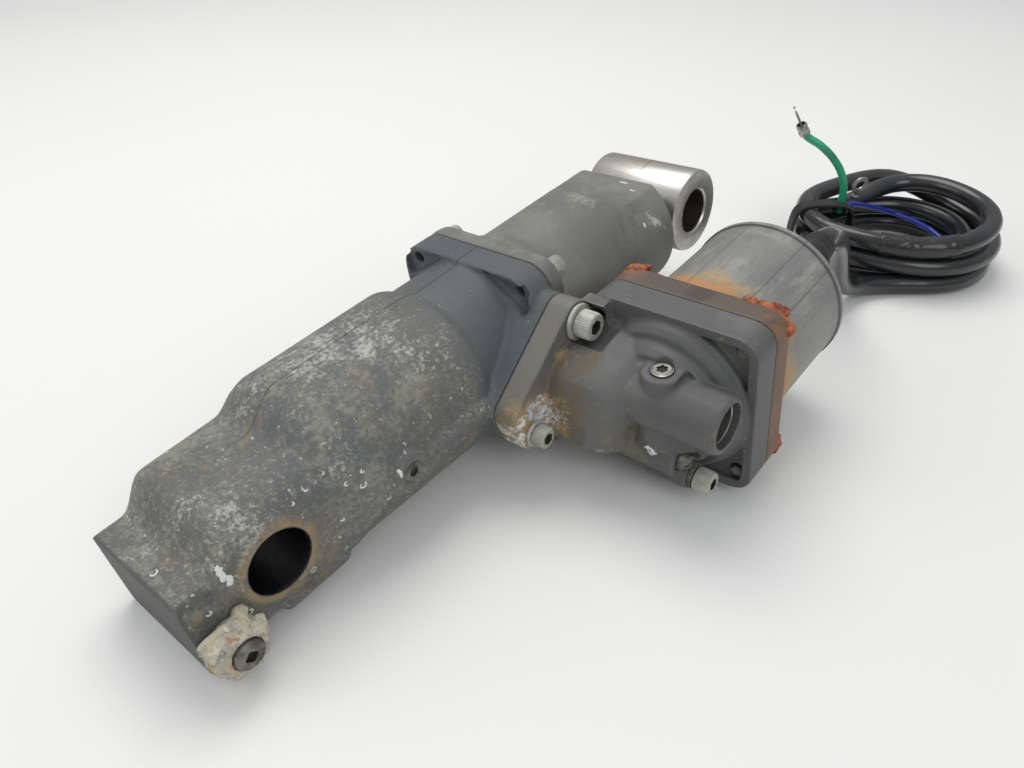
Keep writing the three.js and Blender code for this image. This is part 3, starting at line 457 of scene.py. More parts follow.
def plain_steel():
    paint = Paint("machined_steel", (0.38, 0.37, 0.35), 0.34, 0.9)
    paint.layer(paint.patch(0.44, 0.62, 5, 4.0), (0.26, 0.25, 0.22), 0.5)
    paint.relief(paint.noise(0.8), 0.04)
    return paint.finish(0.5)


def dirty_steel():
    paint = Paint("dirty_steel", (0.20, 0.195, 0.17), 0.5, 0.6)
    paint.layer(paint.patch(0.44, 0.60, 3, 4.0), (0.11, 0.10, 0.08), 0.7)
    speckle(paint, None, CHALK, 1.5, 0.62, 0.68)
    paint.relief(paint.noise(1.0), 0.1)
    return paint.finish(0.6)


def crust_paint():
    paint = Paint("anode_crust", (0.50, 0.46, 0.36), 0.9, 0.0, 0.3)
    paint.layer(paint.patch(0.48, 0.58, 2.6, 6.0, 0.8), (0.30, 0.31, 0.28))
    paint.layer(paint.patch(0.53, 0.62, 5, 5.0, 0.75, shift=4.0), (0.50, 0.33, 0.18))
    paint.layer(paint.patch(0.58, 0.66, 3, 5.0, 0.75, shift=9.0), (0.40, 0.17, 0.06), weight=0.8)
    paint.layer(paint.patch(0.58, 0.66, 2.4, 4.0, 0.7, shift=7.0), (0.66, 0.63, 0.53))
    paint.relief(paint.noise(1.6, 4.0, 0.7), 0.7)
    return paint.finish(1.0)


def plastic(name, color, roughness, coat=0.0):
    paint = Paint(name, color, roughness, 0.0, 0.5)
    paint.layer(paint.patch(0.45, 0.62, 20, 4.0), tuple(min(1, c * 1.7 + 0.004) for c in color), roughness + 0.10)
    paint.relief(paint.noise(5, 3.0), 0.25).relief(paint.noise(0.9), 0.03)
    paint.shader.inputs["Coat Weight"].default_value = coat
    return paint.finish(0.5)


def sealant_paint():
    paint = Paint("old_sealant", (0.42, 0.115, 0.035), 0.5, 0.0, 0.45)
    paint.layer(paint.patch(0.46, 0.62, 4, 4.0, 0.7), (0.15, 0.026, 0.014), 0.45)
    paint.layer(paint.patch(0.62, 0.70, 3, 4.0, 0.7, shift=5.0), (0.60, 0.42, 0.24), 0.6)
    paint.relief(paint.noise(1.5), 0.2)
    return paint.finish(0.7)


def flake_paint():
    paint = Paint("white_flake", (0.72, 0.72, 0.69), 0.6)
    paint.layer(paint.patch(0.52, 0.64, 3, 4.0), (0.42, 0.43, 0.42))
    return paint.finish()


LOWER = lower_paint()
UPPER = upper_paint()
PUMP = pump_paint()
ADAPTER = adapter_paint()
MOTOR_SKIN = motor_paint()
POLISHED = polished_metal()
BORE = tarnished_bore()
ZINC = zinc()
STEEL = plain_steel()
DIRTY_STEEL = dirty_steel()
# Near-black material used as painted shade inside screw-head sockets.
SOCKET_SHADE = plastic("dark_grime", (0.022, 0.020, 0.014), 0.7)
CRUST = crust_paint()
PVC = plastic("black_pvc", (0.012, 0.013, 0.015), 0.28, 0.4)
TAPE = plastic("black_tape", (0.010, 0.010, 0.011), 0.30, 0.3)
RUBBER = plastic("black_rubber", (0.014, 0.014, 0.014), 0.6)
GREEN = plastic("green_pvc", (0.004, 0.20, 0.095), 0.32, 0.3)
BLUE = plastic("blue_pvc", (0.004, 0.022, 0.26), 0.32, 0.3)
SEALANT = sealant_paint()
FLAKE = flake_paint()
TINNED = plain_steel()
TINNED.name = "tinned_copper"

# ---- Shapes ----

def point(axis, along, a, b):
    return {"x": (along, a, b), "y": (a, along, b), "z": (a, b, along)}[axis]


def smooth_rows(rows, spacing):
    """Rows of numbers, ordered by their first, filled in with a curve that never overshoots them."""
    place = [row[0] for row in rows]
    filled = [[] for _ in range(max(2, round((place[-1] - place[0]) / spacing) + 1))]
    samples = [place[0] + (place[-1] - place[0]) * i / (len(filled) - 1) for i in range(len(filled))]
    for column in range(1, len(rows[0])):
        values = [row[column] for row in rows]
        rises = [(values[i + 1] - values[i]) / (place[i + 1] - place[i]) for i in range(len(rows) - 1)]
        slopes = [rises[0]]
        for before, after in zip(rises, rises[1:]):
            slopes.append(2 * before * after / (before + after) if before * after > 0 else 0.0)
        slopes.append(rises[-1])
        i = 0
        for k, sample in enumerate(samples):
            while i < len(rows) - 2 and sample > place[i + 1]:
                i += 1
            width = place[i + 1] - place[i]
            t = (sample - place[i]) / width
            filled[k].append(
                (1 + 2 * t) * (1 - t) ** 2 * values[i] + t * (1 - t) ** 2 * width * slopes[i]
                + t * t * (3 - 2 * t) * values[i + 1] - t * t * (1 - t) * width * slopes[i + 1]
            )
    return [(sample, *columns) for sample, columns in zip(samples, filled)]


class Shell:
    """Closed shells, which may overlap, in unit-frame millimetres."""

    def __init__(self):
        self.verts = []
        self.faces = []

    def rings(self, rings, closed=False):
        start, count, n = len(self.verts), len(rings), len(rings[0])
        for ring in rings:
            self.verts.extend(ring)
        for i in range(count if closed else count - 1):
            low, high = start + i * n, start + (i + 1) % count * n
            for k in range(n):
                after = (k + 1) % n
                self.faces.append((low + k, low + after, high + after, high + k))
        if not closed:
            self.faces.append(tuple(start + k for k in reversed(range(n))))
            self.faces.append(tuple(start + (count - 1) * n + k for k in range(n)))
        return self

    def turned(self, axis, profile, centre, sides=72, closed=False, ridges=0, depth=0.0):
        """Revolves points of (radius, along) about an axis through centre; ridges of a depth run along it."""
        a, b = centre
        turns = [2 * math.pi * (k + 0.5) / sides for k in range(sides)]
        waves = [depth * (0.5 + 0.5 * math.cos(ridges * t)) for t in turns]
        return self.rings([
            [point(axis, along, a + (r - w) * math.cos(t), b + (r - w) * math.sin(t)) for t, w in zip(turns, waves)]
            for r, along in ((max(radius, depth + 0.02), along) for radius, along in profile)
        ], closed)

    def bar(self, axis, radius, low, high, centre, sides=72):
        return self.turned(axis, [(radius, low), (radius, high)], centre, sides)

    def tube(self, axis, inner, outer, low, high, centre, sides=96, edge=0.4):
        profile = [
            (inner + edge, low), (outer - edge, low), (outer, low + edge), (outer, high - edge),
            (outer - edge, high), (inner + edge, high), (inner, high - edge), (inner, low + edge),
        ]
        return self.turned(axis, profile, centre, sides, closed=True)

    def prism(self, axis, outline, low, high):
        return self.rings([[point(axis, along, a, b) for a, b in outline] for along in (low, high)])

    def block(self, x0, x1, y0, y1, z0, z1):
        return self.prism("z", [(x0, y0), (x1, y0), (x1, y1), (x0, y1)], z0, z1)

    def loft(self, rows, sides=96, spacing=2.0):
        """A body along +Y from rows of (y, left, right, bottom, top, corner radius)."""
        made = []
        for y, left, right, bottom, top, r in smooth_rows(rows, spacing):
            ring = []
            for k in range(sides):
                turn = 2 * math.pi * (k + 0.5) / sides
                x, z = math.cos(turn), math.sin(turn)
                ring.append(((right - r if x > 0 else left + r) + x * r, y,
                             (top - r if z > 0 else bottom + r) + z * r))
            made.append(ring)
        return self.rings(made)

    def take(self, made):
        """Takes over the faces of a made piece, which goes."""
        start = len(self.verts)
        self.verts.extend(tuple(vert.co) for vert in made.data.vertices)
        self.faces.extend(tuple(start + i for i in face.vertices) for face in made.data.polygons)
        bpy.data.objects.remove(made)
        return self

    def made(self, name):
        return link(name, self.mesh(name))

    def mesh(self, name):
        mesh = bpy.data.meshes.new(name)
        mesh.from_pydata(self.verts, [], self.faces)
        work = bmesh.new()
        work.from_mesh(mesh)
        bmesh.ops.recalc_face_normals(work, faces=work.faces)
        work.to_mesh(mesh)
        work.free()
        return mesh


def around(circles, step=7.0):
    """Outline of a belt round circles of (a, b, radius), given anticlockwise."""
    normals = []
    for i, (a, b, r) in enumerate(circles):
        a2, b2, r2 = circles[(i + 1) % len(circles)]
        normals.append(math.atan2(b2 - b, a2 - a) - math.pi / 2 + math.asin((r - r2) / math.dist((a, b), (a2, b2))))
    outline = []
    for i, (a, b, r) in enumerate(circles):
        start, end = normals[i - 1], normals[i]
        sweep = (end - start) % (2 * math.pi)
        pieces = max(1, round(math.degrees(sweep) / step))
        for k in range(pieces + 1):
            turn = start + sweep * k / pieces
            outline.append((a + r * math.cos(turn), b + r * math.sin(turn)))
    return outline


def rounded_box(a0, a1, b0, b1, r):
    return around([(a0 + r, b0 + r, r), (a1 - r, b0 + r, r), (a1 - r, b1 - r, r), (a0 + r, b1 - r, r)])


def link(name, data):
    made = bpy.data.objects.new(name, data)
    bpy.context.scene.collection.objects.link(made)
    return made


def applied(made):
    """The object's mesh with its modifiers applied."""
    graph = bpy.context.evaluated_depsgraph_get()
    mesh = bpy.data.meshes.new_from_object(made.evaluated_get(graph))
    made.modifiers.clear()
    made.data = mesh
    return made


def fused(name, solid, cuts=(), voxel=0.9, smooth=5):
    """One soft-edged casting from overlapping shells, with shells cut away."""
    made = solid.made(name)
    made.modifiers.new("fuse", "REMESH").voxel_size = voxel
    applied(made)
    cutters = []
    for cut in cuts:
        cutter = cut.made("cut")
        boolean = made.modifiers.new("cut", "BOOLEAN")
        boolean.operation = "DIFFERENCE"
        boolean.solver = "MANIFOLD"
        boolean.object = cutter
        cutters.append(cutter)
    if cuts:
        applied(made)
        made.modifiers.new("fuse", "REMESH").voxel_size = voxel
    soften = made.modifiers.new("soften", "SMOOTH")
    soften.factor = 0.5
    soften.iterations = smooth
    applied(made)
    for cutter in cutters:
        bpy.data.objects.remove(cutter)
    return made


def carve(made, tools, operation="DIFFERENCE"):
    """Cuts shells away from a piece one after another, or joins them on."""
    for tool in tools:
        other = tool.made("tool")
        boolean = made.modifiers.new("tool", "BOOLEAN")
        boolean.operation, boolean.solver, boolean.object = operation, "MANIFOLD", other
        applied(made)
        bpy.data.objects.remove(other)
    return made


def joined(made, mesh):
    """Adds a mesh to a piece as it is."""
    work = bmesh.new()
    work.from_mesh(made.data)
    work.from_mesh(mesh)
    work.to_mesh(made.data)
    work.free()


def settle(made, material, body, nodes=(), angle=35):
    """Moves a piece from the unit frame to its place, gives it its finish and body, and hides the CAD nodes that it
    replaces.
    """
    made.data.transform(TO_ROW)
    return dress(made, material, body, nodes, angle)


def dress(made, material, body, nodes=(), angle=35):
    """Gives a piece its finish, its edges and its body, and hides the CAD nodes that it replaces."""
    made.data.materials.clear()
    made.data.materials.append(material)
    made.data.shade_smooth()
    if angle:
        made.data.set_sharp_from_angle(angle=math.radians(angle))
    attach(made, body)
    if nodes:
        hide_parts(*nodes)
    return made


def bar(*arguments, **named):
    return Shell().bar(*arguments, **named)


def ball(shell, centre, radius):
    x, y, z = centre
    arc = [math.pi * (k / 8 - 0.5) for k in range(9)]
    shell.turned("y", [(radius * math.cos(t), y + radius * math.sin(t)) for t in arc], (x, z), 20)


# ---- Castings ----
PAD = around([(*BOLT_LOW, 8.6), (*BOLT_TOP, 9.6), (-45.6, -5.5, 8.2), (-42, -16.3, 8.6)])
PLATE_OUTLINE = rounded_box(MX - PLATE, MX + PLATE, MZ - PLATE, MZ + PLATE, 10)


def ear_pockets(corners, low, high):
    cuts = []
    for sx, sz in SIGNS:
        circles = [(a * sx, b * sz, r) for a, b, r in corners]
        cuts.append(Shell().prism("y", around(circles if sx * sz > 0 else circles[::-1]), low, high))
    return cuts


def lower_casting():
    body = Shell().loft([
        (-199.2, -27, 34.3, -26.6, 12, 3),
        (-187, -27, 34.3, -27, 12.6, 4),
        (-173, -31, 34.3, -28.6, 27, 12),
        (-138, -31.5, 34.3, -30, 28, 13),
        (-127, -37.5, 38.5, -34.2, 37, 27),
        (-120, -40.5, 41, -34.6, 40.5, 34),
        (-50, -40.5, 41, -37.6, 40.5, 35),
        (-43, -38.5, 38.5, -37.8, 38.5, 38),
        (-1, -38.5, 38.5, -38.5, 38.5, 38.5),
    ])
    body.prism("y", rounded_box(-41, 41, -43.1, 40.5, 14), -15, 0)
    body.prism("x", PAD, 12, PAD_FACE)
    body.turned("y", [(0, -103), (6, -102), (9.5, -97), (9.5, -30)], (34, -2))
    body.turned("x", [(9.5, 25), (9.5, 43), (8.7, 43.8)], DRAIN)
    body.turned("y", [(6, -168), (12, -163), (12, -133), (6, -128)], (22.3, -21.4))
    body.turned("x", [(17.8, 33), (17.4, 35.0), (16.6, 35.4)], PIN)
    cuts = [
        bar("y", BORE_R, -117.3, 1, (0, 0)), bar("y", 22.8, -124, -116, (0, 0)), bar("x", 13.2, -60, 60, PIN, 120),
        bar("x", 4.3, 31.5, 50, BOLT_TOP), bar("x", 3.3, 31.5, 50, BOLT_NEAR), bar("x", 3.3, 36.5, 50, BOLT_LOW),
        bar("x", 3.4, 30, 50, DRAIN), bar("x", 3.4, 18, 50, ANODE), bar("x", 5.4, 42.6, 50, DRAIN),
        Shell().block(-60, 41.6, 0.001, 20, -60, 60),
        *ear_pockets([(14, 38.5, 0.8), (37, 25, 1.5), (35.8, 33.8, 3)], -18, -12),
        *[bar("y", 2.8, -20, 1, place) for place in FLANGE_SCREWS],
        # The side is relieved behind the boss's flat.
        Shell().prism("x", around([(-196, 8, 2), (-188, 6.5, 2), (-188, 20, 2), (-196, 20, 2)]), 31.5, 40),
    ]
    made = fused("lower_casting", body, cuts, 0.8, 4)
    return settle(made, LOWER, "housing", ["lower_cylinder"])


def upper_casting():
    body = Shell().turned("y", [(35, 1), (36.8, 2), (36.8, 110.6), (35.4, 112.1)], (0, 0), 128)
    body.turned("y", [(39, 0.5), (39, 13.3), (38.2, 16.5), (36, 20.3)], (0, 0), 128)
    above = [(66, 44), (70, 38), (74.5, 34.5), (84, 29.2), (88, 28.5), (114, 28.5), (114, 44)]
    slope = Shell().prism("x", above, -50, 50)
    first = fused("upper_barrel", body, [slope], 0.85, 4)
    rest = Shell().prism("y", rounded_box(-41, 41, -42.1, 40.5, 14), 0.3, 8.8)
    rest.take(first)
    for sx, sz in SIGNS:
        rest.turned("y", [(8.2, 4), (6.6, 8.9), (5.9, 9.6)], (sx * (SCREW_PITCH - 1), sz * (SCREW_PITCH - 1)))
    cuts = [
        bar("y", BORE_R, -1, 104.6, (0, 0)), bar("y", 11.3, 100, 114, (0, 0), 96),
        bar("y", 15.6, 107.6, 114, (0, 0), 96),
        *[bar("y", 2.8, -1, 20, place) for place in FLANGE_SCREWS],
        *[bar("y", 5.2, 9.1, 30, place) for place in FLANGE_SCREWS],
    ]
    made = fused("upper_casting", rest, cuts, 0.85, 4)
    return settle(made, UPPER, "housing", ["upper_cylinder"])


def pump_casting():
    body = Shell().prism("x", PAD, PAD_FACE + 0.35, SIDE_FLANGE)
    body.loft([
        (-33, 50, 80, -24, -6, 8), (-26, 50, 90, -30, 8, 10), (-4, 50, 96, -36, 17, 10), (8.8, 56, 96, -36, 19, 10),
    ], 96)
    body.block(56, 68, -1, 7.8, 12, MZ + PLATE - 1)
    body.turned("y", [
        (0, -16), (8, -16), (17, -15.4), (22, -13.4), (25.4, -10.4), (26.2, -7.2), (29.4, -6.4), (31.2, -3.4),
        (31.7, 0.4), (35.0, 1.2), (37.4, 3.6), (38.6, 7.8), (0, 8.4),
    ], MOTOR, 144)
    body.prism("y", PLATE_OUTLINE, 6.8, 21.8)
    body.turned("x", [(13, 92), (13, 132.9), (12.5, 134.3), (11.6, 134.8)], PORT, 96)
    body.turned("z", [(11.5, -22), (9.8, -8), (9.1, 4), (9.0, 14.2), (8.4, 15.0)], FILLER, 96)
    body.turned("x", [(8.8, 80), (8.8, 113.6), (8.1, 114.3)], VALVE, 96)
    body.bar("x", 6.8, 50, 80, (VALVE[0] - 1, VALVE[1] + 0.5))
    body.block(80, 113.6, VALVE[0], 7.8, VALVE[1] - 7.6, VALVE[1] + 7.6)
    body.turned("x", [(6.5, 96), (6.5, 116.6), (6.0, 117.2)], KEEPER, 96)
    body.block(96, 113.6, KEEPER[0] - 4.6, 7.8, KEEPER[1] - 4.6, KEEPER[1] + 8)
    body.turned("y", [(3.4, -17.2), (3.9, -16.4), (3.9, -13)], (98, -26), 48)
    floor = rounded_box(MX - PLATE + 4.5, MX + PLATE - 4.5, MZ - PLATE + 4.5, MZ + PLATE - 4.5, 7)
    ring = Shell().turned("y", [(39.2, 5), (39.2, 13)], MOTOR, 144)
    dish = Shell().prism("y", floor, 5.8, 10.4).made("dish")
    pocket = Shell().take(carve(dish, (ring, Shell().block(50, 84, -1, 20, -5, 40))))
    cuts = [
        pocket,
        bar("y", 27, 1.1, 30, MOTOR), bar("x", 10.2, 122, 140, PORT, 96), bar("x", 7.2, 112, 140, PORT, 96),
        bar("z", 5.1, 13.6, 20, FILLER, 96), bar("z", 3.6, 1, 20, FILLER), bar("x", 5.4, 94, 120, VALVE, 96),
        bar("x", 3.2, 100, 120, KEEPER), bar("x", 9.2, SIDE_FLANGE, 75, BOLT_TOP, 96),
        bar("x", 7.2, SIDE_FLANGE, 75, BOLT_NEAR, 96), bar("x", 7.2, SIDE_FLANGE, 75, BOLT_LOW, 96),
        bar("x", 4.4, 40, 75, BOLT_TOP), bar("x", 3.4, 40, 75, BOLT_NEAR), bar("x", 3.4, 40, 75, BOLT_LOW),
        *[bar("y", 3.2, 0, 30, place) for place in MOTOR_SCREWS],
        *[bar("y", 4.3, 8.9, 11.4, place) for place in MOTOR_SCREWS],
        Shell().block(112, 133, -24, -3.5, 11.0, 20),
    ]
    made = fused("pump_casting", body, cuts, 0.58, 2)
    return settle(made, PUMP, "housing", ["pump_housing"])


lower_casting()
upper_casting()
pump_casting()


# ---- Adapter plate, motor and gland ----
def adapter():
    made = fused("motor_adapter", Shell().prism("y", PLATE_OUTLINE, 22.1, 33.8), [
        bar("y", 11.3, 20, 40, MOTOR), bar("y", 13.3, 27, 40, MOTOR),
        *[bar("y", 3.2, 20, 40, place) for place in MOTOR_SCREWS],
    ], 0.75, 3)
    settle(made, ADAPTER, "housing", ["adapter_plate"])


def motor_shell():
    profile = [
        (36.6, 34.1), (39.0, 34.1), (39.2, 34.8), (39.2, 45.0), (39.05, 45.5), (39.05, 46.1), (39.2, 46.6),
        (39.2, 88.0), (38.9, 88.7), (38.9, 90.0), (39.2, 90.7), (39.2, 96.2), (39.0, 96.5), (36.6, 96.5),
    ]
    made = Shell().turned("y", profile, MOTOR, 180, closed=True).made("motor_shell")
    settle(made, MOTOR_SKIN, "housing", ["motor_can"])
    holder = Shell().tube("y", 24.9, 36.3, 88, 97.5, MOTOR)
    cap = Shell().turned("y", [
        (0, 96.8), (40.1, 96.8), (40.1, 99.0), (39.6, 99.9), (38.4, 100.8), (36.6, 102.4), (35.2, 103.4),
        (33.5, 103.8), (24, 103.8), (23.2, 103.2), (12, 103.2), (11.2, 103.8), (0, 103.8),
    ], MOTOR, 144)
    gland = (MX + 17, MZ + 22)  # centre of the cable's exit, as (x, z)
    cutters = [bar("y", 9.3, 90, 101.3, MOTOR), bar("y", 6.6, 90, 106, gland)]
    for turn in (math.radians(angle) for angle in (150, 210, 270, 330)):
        x, z = MX + 28 * math.cos(turn), MZ + 28 * math.sin(turn)
        cutters.append(Shell().prism("y", around([(x - 2, z, 1.6), (x + 2, z, 1.6)]), 102.8, 106))
    made = carve(cap.made("motor_cap"), cutters)
    settle(made, MOTOR_SKIN, "housing", ["motor_end_cap"])
    settle(holder.made("brush_ring"), RUBBER, "housing", ())
    boot = Shell().turned("y", [
        (6.05, 101), (8.6, 101), (10.8, 104.2), (11, 104.8), (11, 106.2), (10.2, 107.4), (9.2, 109), (8.6, 111.6),
        (8.0, 112.1), (8.0, 113.1), (8.4, 113.6), (8.1, 116.2), (7.5, 116.7), (7.5, 117.7), (7.9, 118.2),
        (7.5, 121), (6.9, 122), (6.05, 122),
    ], gland, 96, closed=True)
    settle(boot.made("strain_relief"), RUBBER, "housing", ["cable_gland"])


adapter()
motor_shell()


# ---- Bolts and other turned pieces ----
def recess(axis, place, radius, low, high, lobes=0):
    """A hexagon socket, or a six-lobed one, as a cutter."""
    a, b = place
    count = 72 if lobes else 6
    outline = []
    for k in range(count):
        turn = 2 * math.pi * k / count + 0.3
        r = radius * (1 - 0.11 + 0.11 * math.cos(lobes * turn)) if lobes else radius
        outline.append((a + r * math.cos(turn), b + r * math.sin(turn)))
    return Shell().prism(axis, outline, low, high)


def cap_screw(name, axis, place, face, head_r, high, shank_r, shank, socket,
              material=ZINC, ridges=40, lobes=0):
    """A knurled cap screw: its head's outer face is at face along the axis."""
    head = Shell().turned(axis, [
        (head_r - 0.5, face - high), (head_r, face - high + 0.3), (head_r, face - high * 0.22),
        (head_r - 0.35, face - 0.35), (head_r - 0.9, face),
    ], place, ridges * 4 if ridges else 96, ridges=ridges, depth=0.32 if ridges else 0.0)
    made = carve(head.made(name), [recess(axis, place, socket, face - high * 0.5, face + 1, lobes)])
    rod = Shell().turned(axis, [(shank_r - 0.4, face - high - shank), (shank_r, face - high - shank + 0.4),
                                (shank_r, face - high + 0.1)], place, 48)
    joined(made, rod.mesh("rod"))
    settle(made, material, "housing", [name.removesuffix("_head")], 30)
    # Second slot: near-black painted shade for the faces inside the socket.
    made.data.materials.append(SOCKET_SHADE)
    mark_recess(made, axis, place, face, high, socket)


def mark_recess(made, axis, place, face, high, socket):
    """Paints shade inside a head's recess: its inner faces get the near-black material."""
    back = TO_ROW.inverted()
    for side in made.data.polygons:
        spot = list(back @ side.center)
        along = spot.pop("xyz".index(axis))
        if face - high * 0.6 < along < face - 0.25 and math.dist(spot, place) < socket * 1.01:
            side.material_index = 1


def washer(name, inner, outer, low, high, place):
    disc = Shell().tube("x", inner, outer, low, high, place, 96, 0.3)
    settle(disc.made(name + "_disc"), ZINC, "housing", [name], 30)


def fasteners():
    for i, (place, motor_place) in enumerate(zip(FLANGE_SCREWS, MOTOR_SCREWS), 1):
        cap_screw(f"flange_screw_{i}_head", "y", place, 16.6, 4.6, 7.4, 2.5, 14, 2.4)
        cap_screw(f"motor_screw_{i}_head", "y", motor_place, 40.1, 4.7, 6, 2.9, 24.8, 2.8, DIRTY_STEEL)
    seat = SIDE_FLANGE + 0.3
    cap_screw("mount_bolt_upper_head", "x", BOLT_TOP, seat + 1.8 + 0.3 + 8, 6.5, 8, 4, 26, 3.6)
    cap_screw("mount_bolt_near_head", "x", BOLT_NEAR, seat + 1.5 + 0.3 + 6, 5, 6, 3, 24, 2.9)
    cap_screw("mount_bolt_low_head", "x", BOLT_LOW, seat + 1.5 + 0.3 + 6, 5, 6, 3, 19, 2.9)
    washer("mount_washer_upper", 4.3, 8.5, seat, seat + 1.8, BOLT_TOP)
    washer("mount_washer_near", 3.3, 6.2, seat, seat + 1.5, BOLT_NEAR)
    washer("mount_washer_low", 3.3, 6.2, seat, seat + 1.5, BOLT_LOW)
    keeper_top = 117.2 + 2.3 + 0.3 + 8
    cap_screw("keeper_bolt_head", "x", KEEPER, keeper_top, 5.6, 8, 3, 14, 2.9)
    cap_screw("filler_plug_head", "z", FILLER, 15.7, 4.75, 1.7, 3.2, 10, 2.6, STEEL, 0, 6)
    cap_screw("anode_screw_head", "x", ANODE, 48.6, 6, 4, 3, 25, 2.7, DIRTY_STEEL, 0, 4)
    cap_screw("drain_plug_head", "x", DRAIN, 43.3, 5.0, 1.6, 3.1, 7, 2.3, DIRTY_STEEL, 0)


def small_pieces():
    y, z = VALVE
    plate = Shell().prism("x", around([(*KEEPER, 5.6), (y + 4.4, z - 5, 1.6), (y + 3, z - 5.4, 1.2)], 5), 117.5, 119.5)
    made = carve(plate.made("keeper"), [bar("x", 3.4, 100, 130, KEEPER), bar("x", 5.5, 100, 130, VALVE)])
    settle(made, DIRTY_STEEL, "housing", ["keeper_plate"], 30)
    ring = Shell().tube("x", 8.6, 9.9, 122.4, 131.5, PORT, 96, 0.35)
    settle(ring.made("port_lining"), STEEL, "housing", ["port_ring"], 30)
    x = 114.3  # the housing's face round the valve
    valve = Shell().turned("x", [
        (4.2, x - 18), (5, x - 16), (5, x - 4), (4, x - 3.4), (4, x - 1.8), (5, x - 1.2), (5, x + 1.2), (4.6, x + 1.7),
        (3.7, x + 2.6), (3.3, x + 4.0), (2.9, x + 4.5), (0, x + 4.8),
    ], VALVE, 96)
    slot = Shell().block(x + 3.2, x + 8, y - 8, y + 8, z - 0.6, z + 0.6)
    made = carve(valve.made("release_screw"), [slot])
    settle(made, DIRTY_STEEL, "manual_valve", ["release_valve"], 30)


fasteners()
small_pieces()


def anode():
    rows = [
        (-199.4, 34.6, 41, -22, -5, 4), (-196, 34.6, 43.5, -25, -2.5, 6), (-184, 34.6, 43.5, -25.5, -2.5, 6),
        (-180, 34.6, 41, -22, -5, 4),
    ]
    body = Shell().loft(rows, 96, 1.5)
    body.turned("x", [(9.4, 34.6), (9.0, 42), (8.6, 45.6), (7.9, 46.5)], ANODE, 96)
    dice = random.Random(21)
    for _ in range(34):
        turn = dice.uniform(0, 2 * math.pi)
        reach = dice.uniform(7.5, 11.5)
        ball(body, (dice.uniform(36.0, 42.5), ANODE[0] + reach * math.cos(turn), ANODE[1] + reach * math.sin(turn)),
             dice.uniform(1.6, 3.0))
    made = fused("anode_block", body, [bar("x", 3.4, 20, 60, ANODE), bar("x", 6.5, 44.2, 60, ANODE)], 0.5, 1)
    for vert in made.data.vertices:
        x, y, z = vert.co
        if x < 35.4 or math.hypot(y - ANODE[0], z - ANODE[1]) < 7.2:
            continue
        lump = noise.fractal(vert.co * 0.22, 0.8, 2.1, 3) + 0.25 * noise.noise(vert.co * 0.8)
        away = Vector((0.6, (y - ANODE[0]) / 12, (z - ANODE[1]) / 12)).normalized()
        vert.co += away * max(-1.1, min(1.3, 1.5 * lump))
    settle(made, CRUST, "housing", ["anode"], 0)


def rod_end():
    half, r = 31, 23.4
    profile = [
        (0, -half), (r - 1.7, -half), (r - 0.5, -half + 0.5), (r, -half + 1.7), (r, half - 1.7),
        (r - 0.5, half - 0.5), (r - 1.7, half), (0, half),
    ]
    made = Shell().turned("x", profile, (EYE_Y, 0), 192).made("rod_end")
    flare = [(14.4, 114.4), (15, 115), (15, 118.5), (15.6, 121), (17.5, 124), (18, 128)]
    neck = Shell().turned("y", flare, (0, 0), 128)
    carve(made, [neck], "UNION")
    hole = [(14.2, -half - 1), (12.5, -half + 0.9), (12.5, half - 0.9), (14.2, half + 1)]
    carve(made, [Shell().turned("x", hole, (EYE_Y, 0), 144), bar("y", 8.3, 110, 127, (0, 0))])
    settle(made, POLISHED, "rod", ["rod_eye"], 28)
    lining = Shell().tube("x", 12.25, 12.48, -half + 1.2, half - 1.2, (EYE_Y, 0), 144, 0.05)
    settle(lining.made("eye_lining"), BORE, "rod", (), 30)
    rod = Shell().turned("y", [
        (7.4, -116), (8, -115.4), (8, -86), (10.6, -86), (11, -85.6), (11, 113.6), (10.6, 114), (8, 114), (8, 126),
        (7.4, 126.6),
    ], (0, 0), 128)
    settle(rod.made("chromed_rod"), POLISHED, "rod", ["piston_rod"], 30)
    wiper = Shell().turned("y", [
        (11.2, 107.6), (15.3, 107.6), (15.3, 112.6), (14.4, 113.2), (13.2, 112.6), (12.2, 113.4), (11.2, 112.8),
    ], (0, 0), 128, closed=True)
    settle(wiper.made("wiper_lip"), RUBBER, "housing", ["rod_wiper"], 30)


anode()
rod_end()


# ---- Cable: lead, tied coil, earth wire; these routes are in the row frame, in millimetres ----
CABLE_R = 6.0
EARTH_R = 2.4
LEAD = [(63.1, 131.5, 77.4), (63.1, 141, 78.1), (62.8, 152, 77), (62.2, 163.5, 72.3), (61.2, 174.5, 63.3),
        (60, 184.5, 51), (58.8, 193.5, 37.5), (57.6, 204, 24), (57.0, 215.5, 13.6), (57.6, 227.5, 8.2),
        (60.6, 240, 6.3), (67.2, 250.6, 6.1)]
NARROW, WIDE = (40, 289, 40), (63, 308.3, 52)
TURNS = 4.72
FAN = (0.0, 1.0, 4.0, -2.5, 2.0)  # how much further in each turn passes round the wide end
EARTH = [(25.8, 279.5, 36.5), (25.8, 279.5, 44), (23.5, 278, 54), (17.5, 274, 65), (8, 268.5, 74.5), (-2, 263.5, 81)]
TERMINAL_TO = (-9, 256, 97)


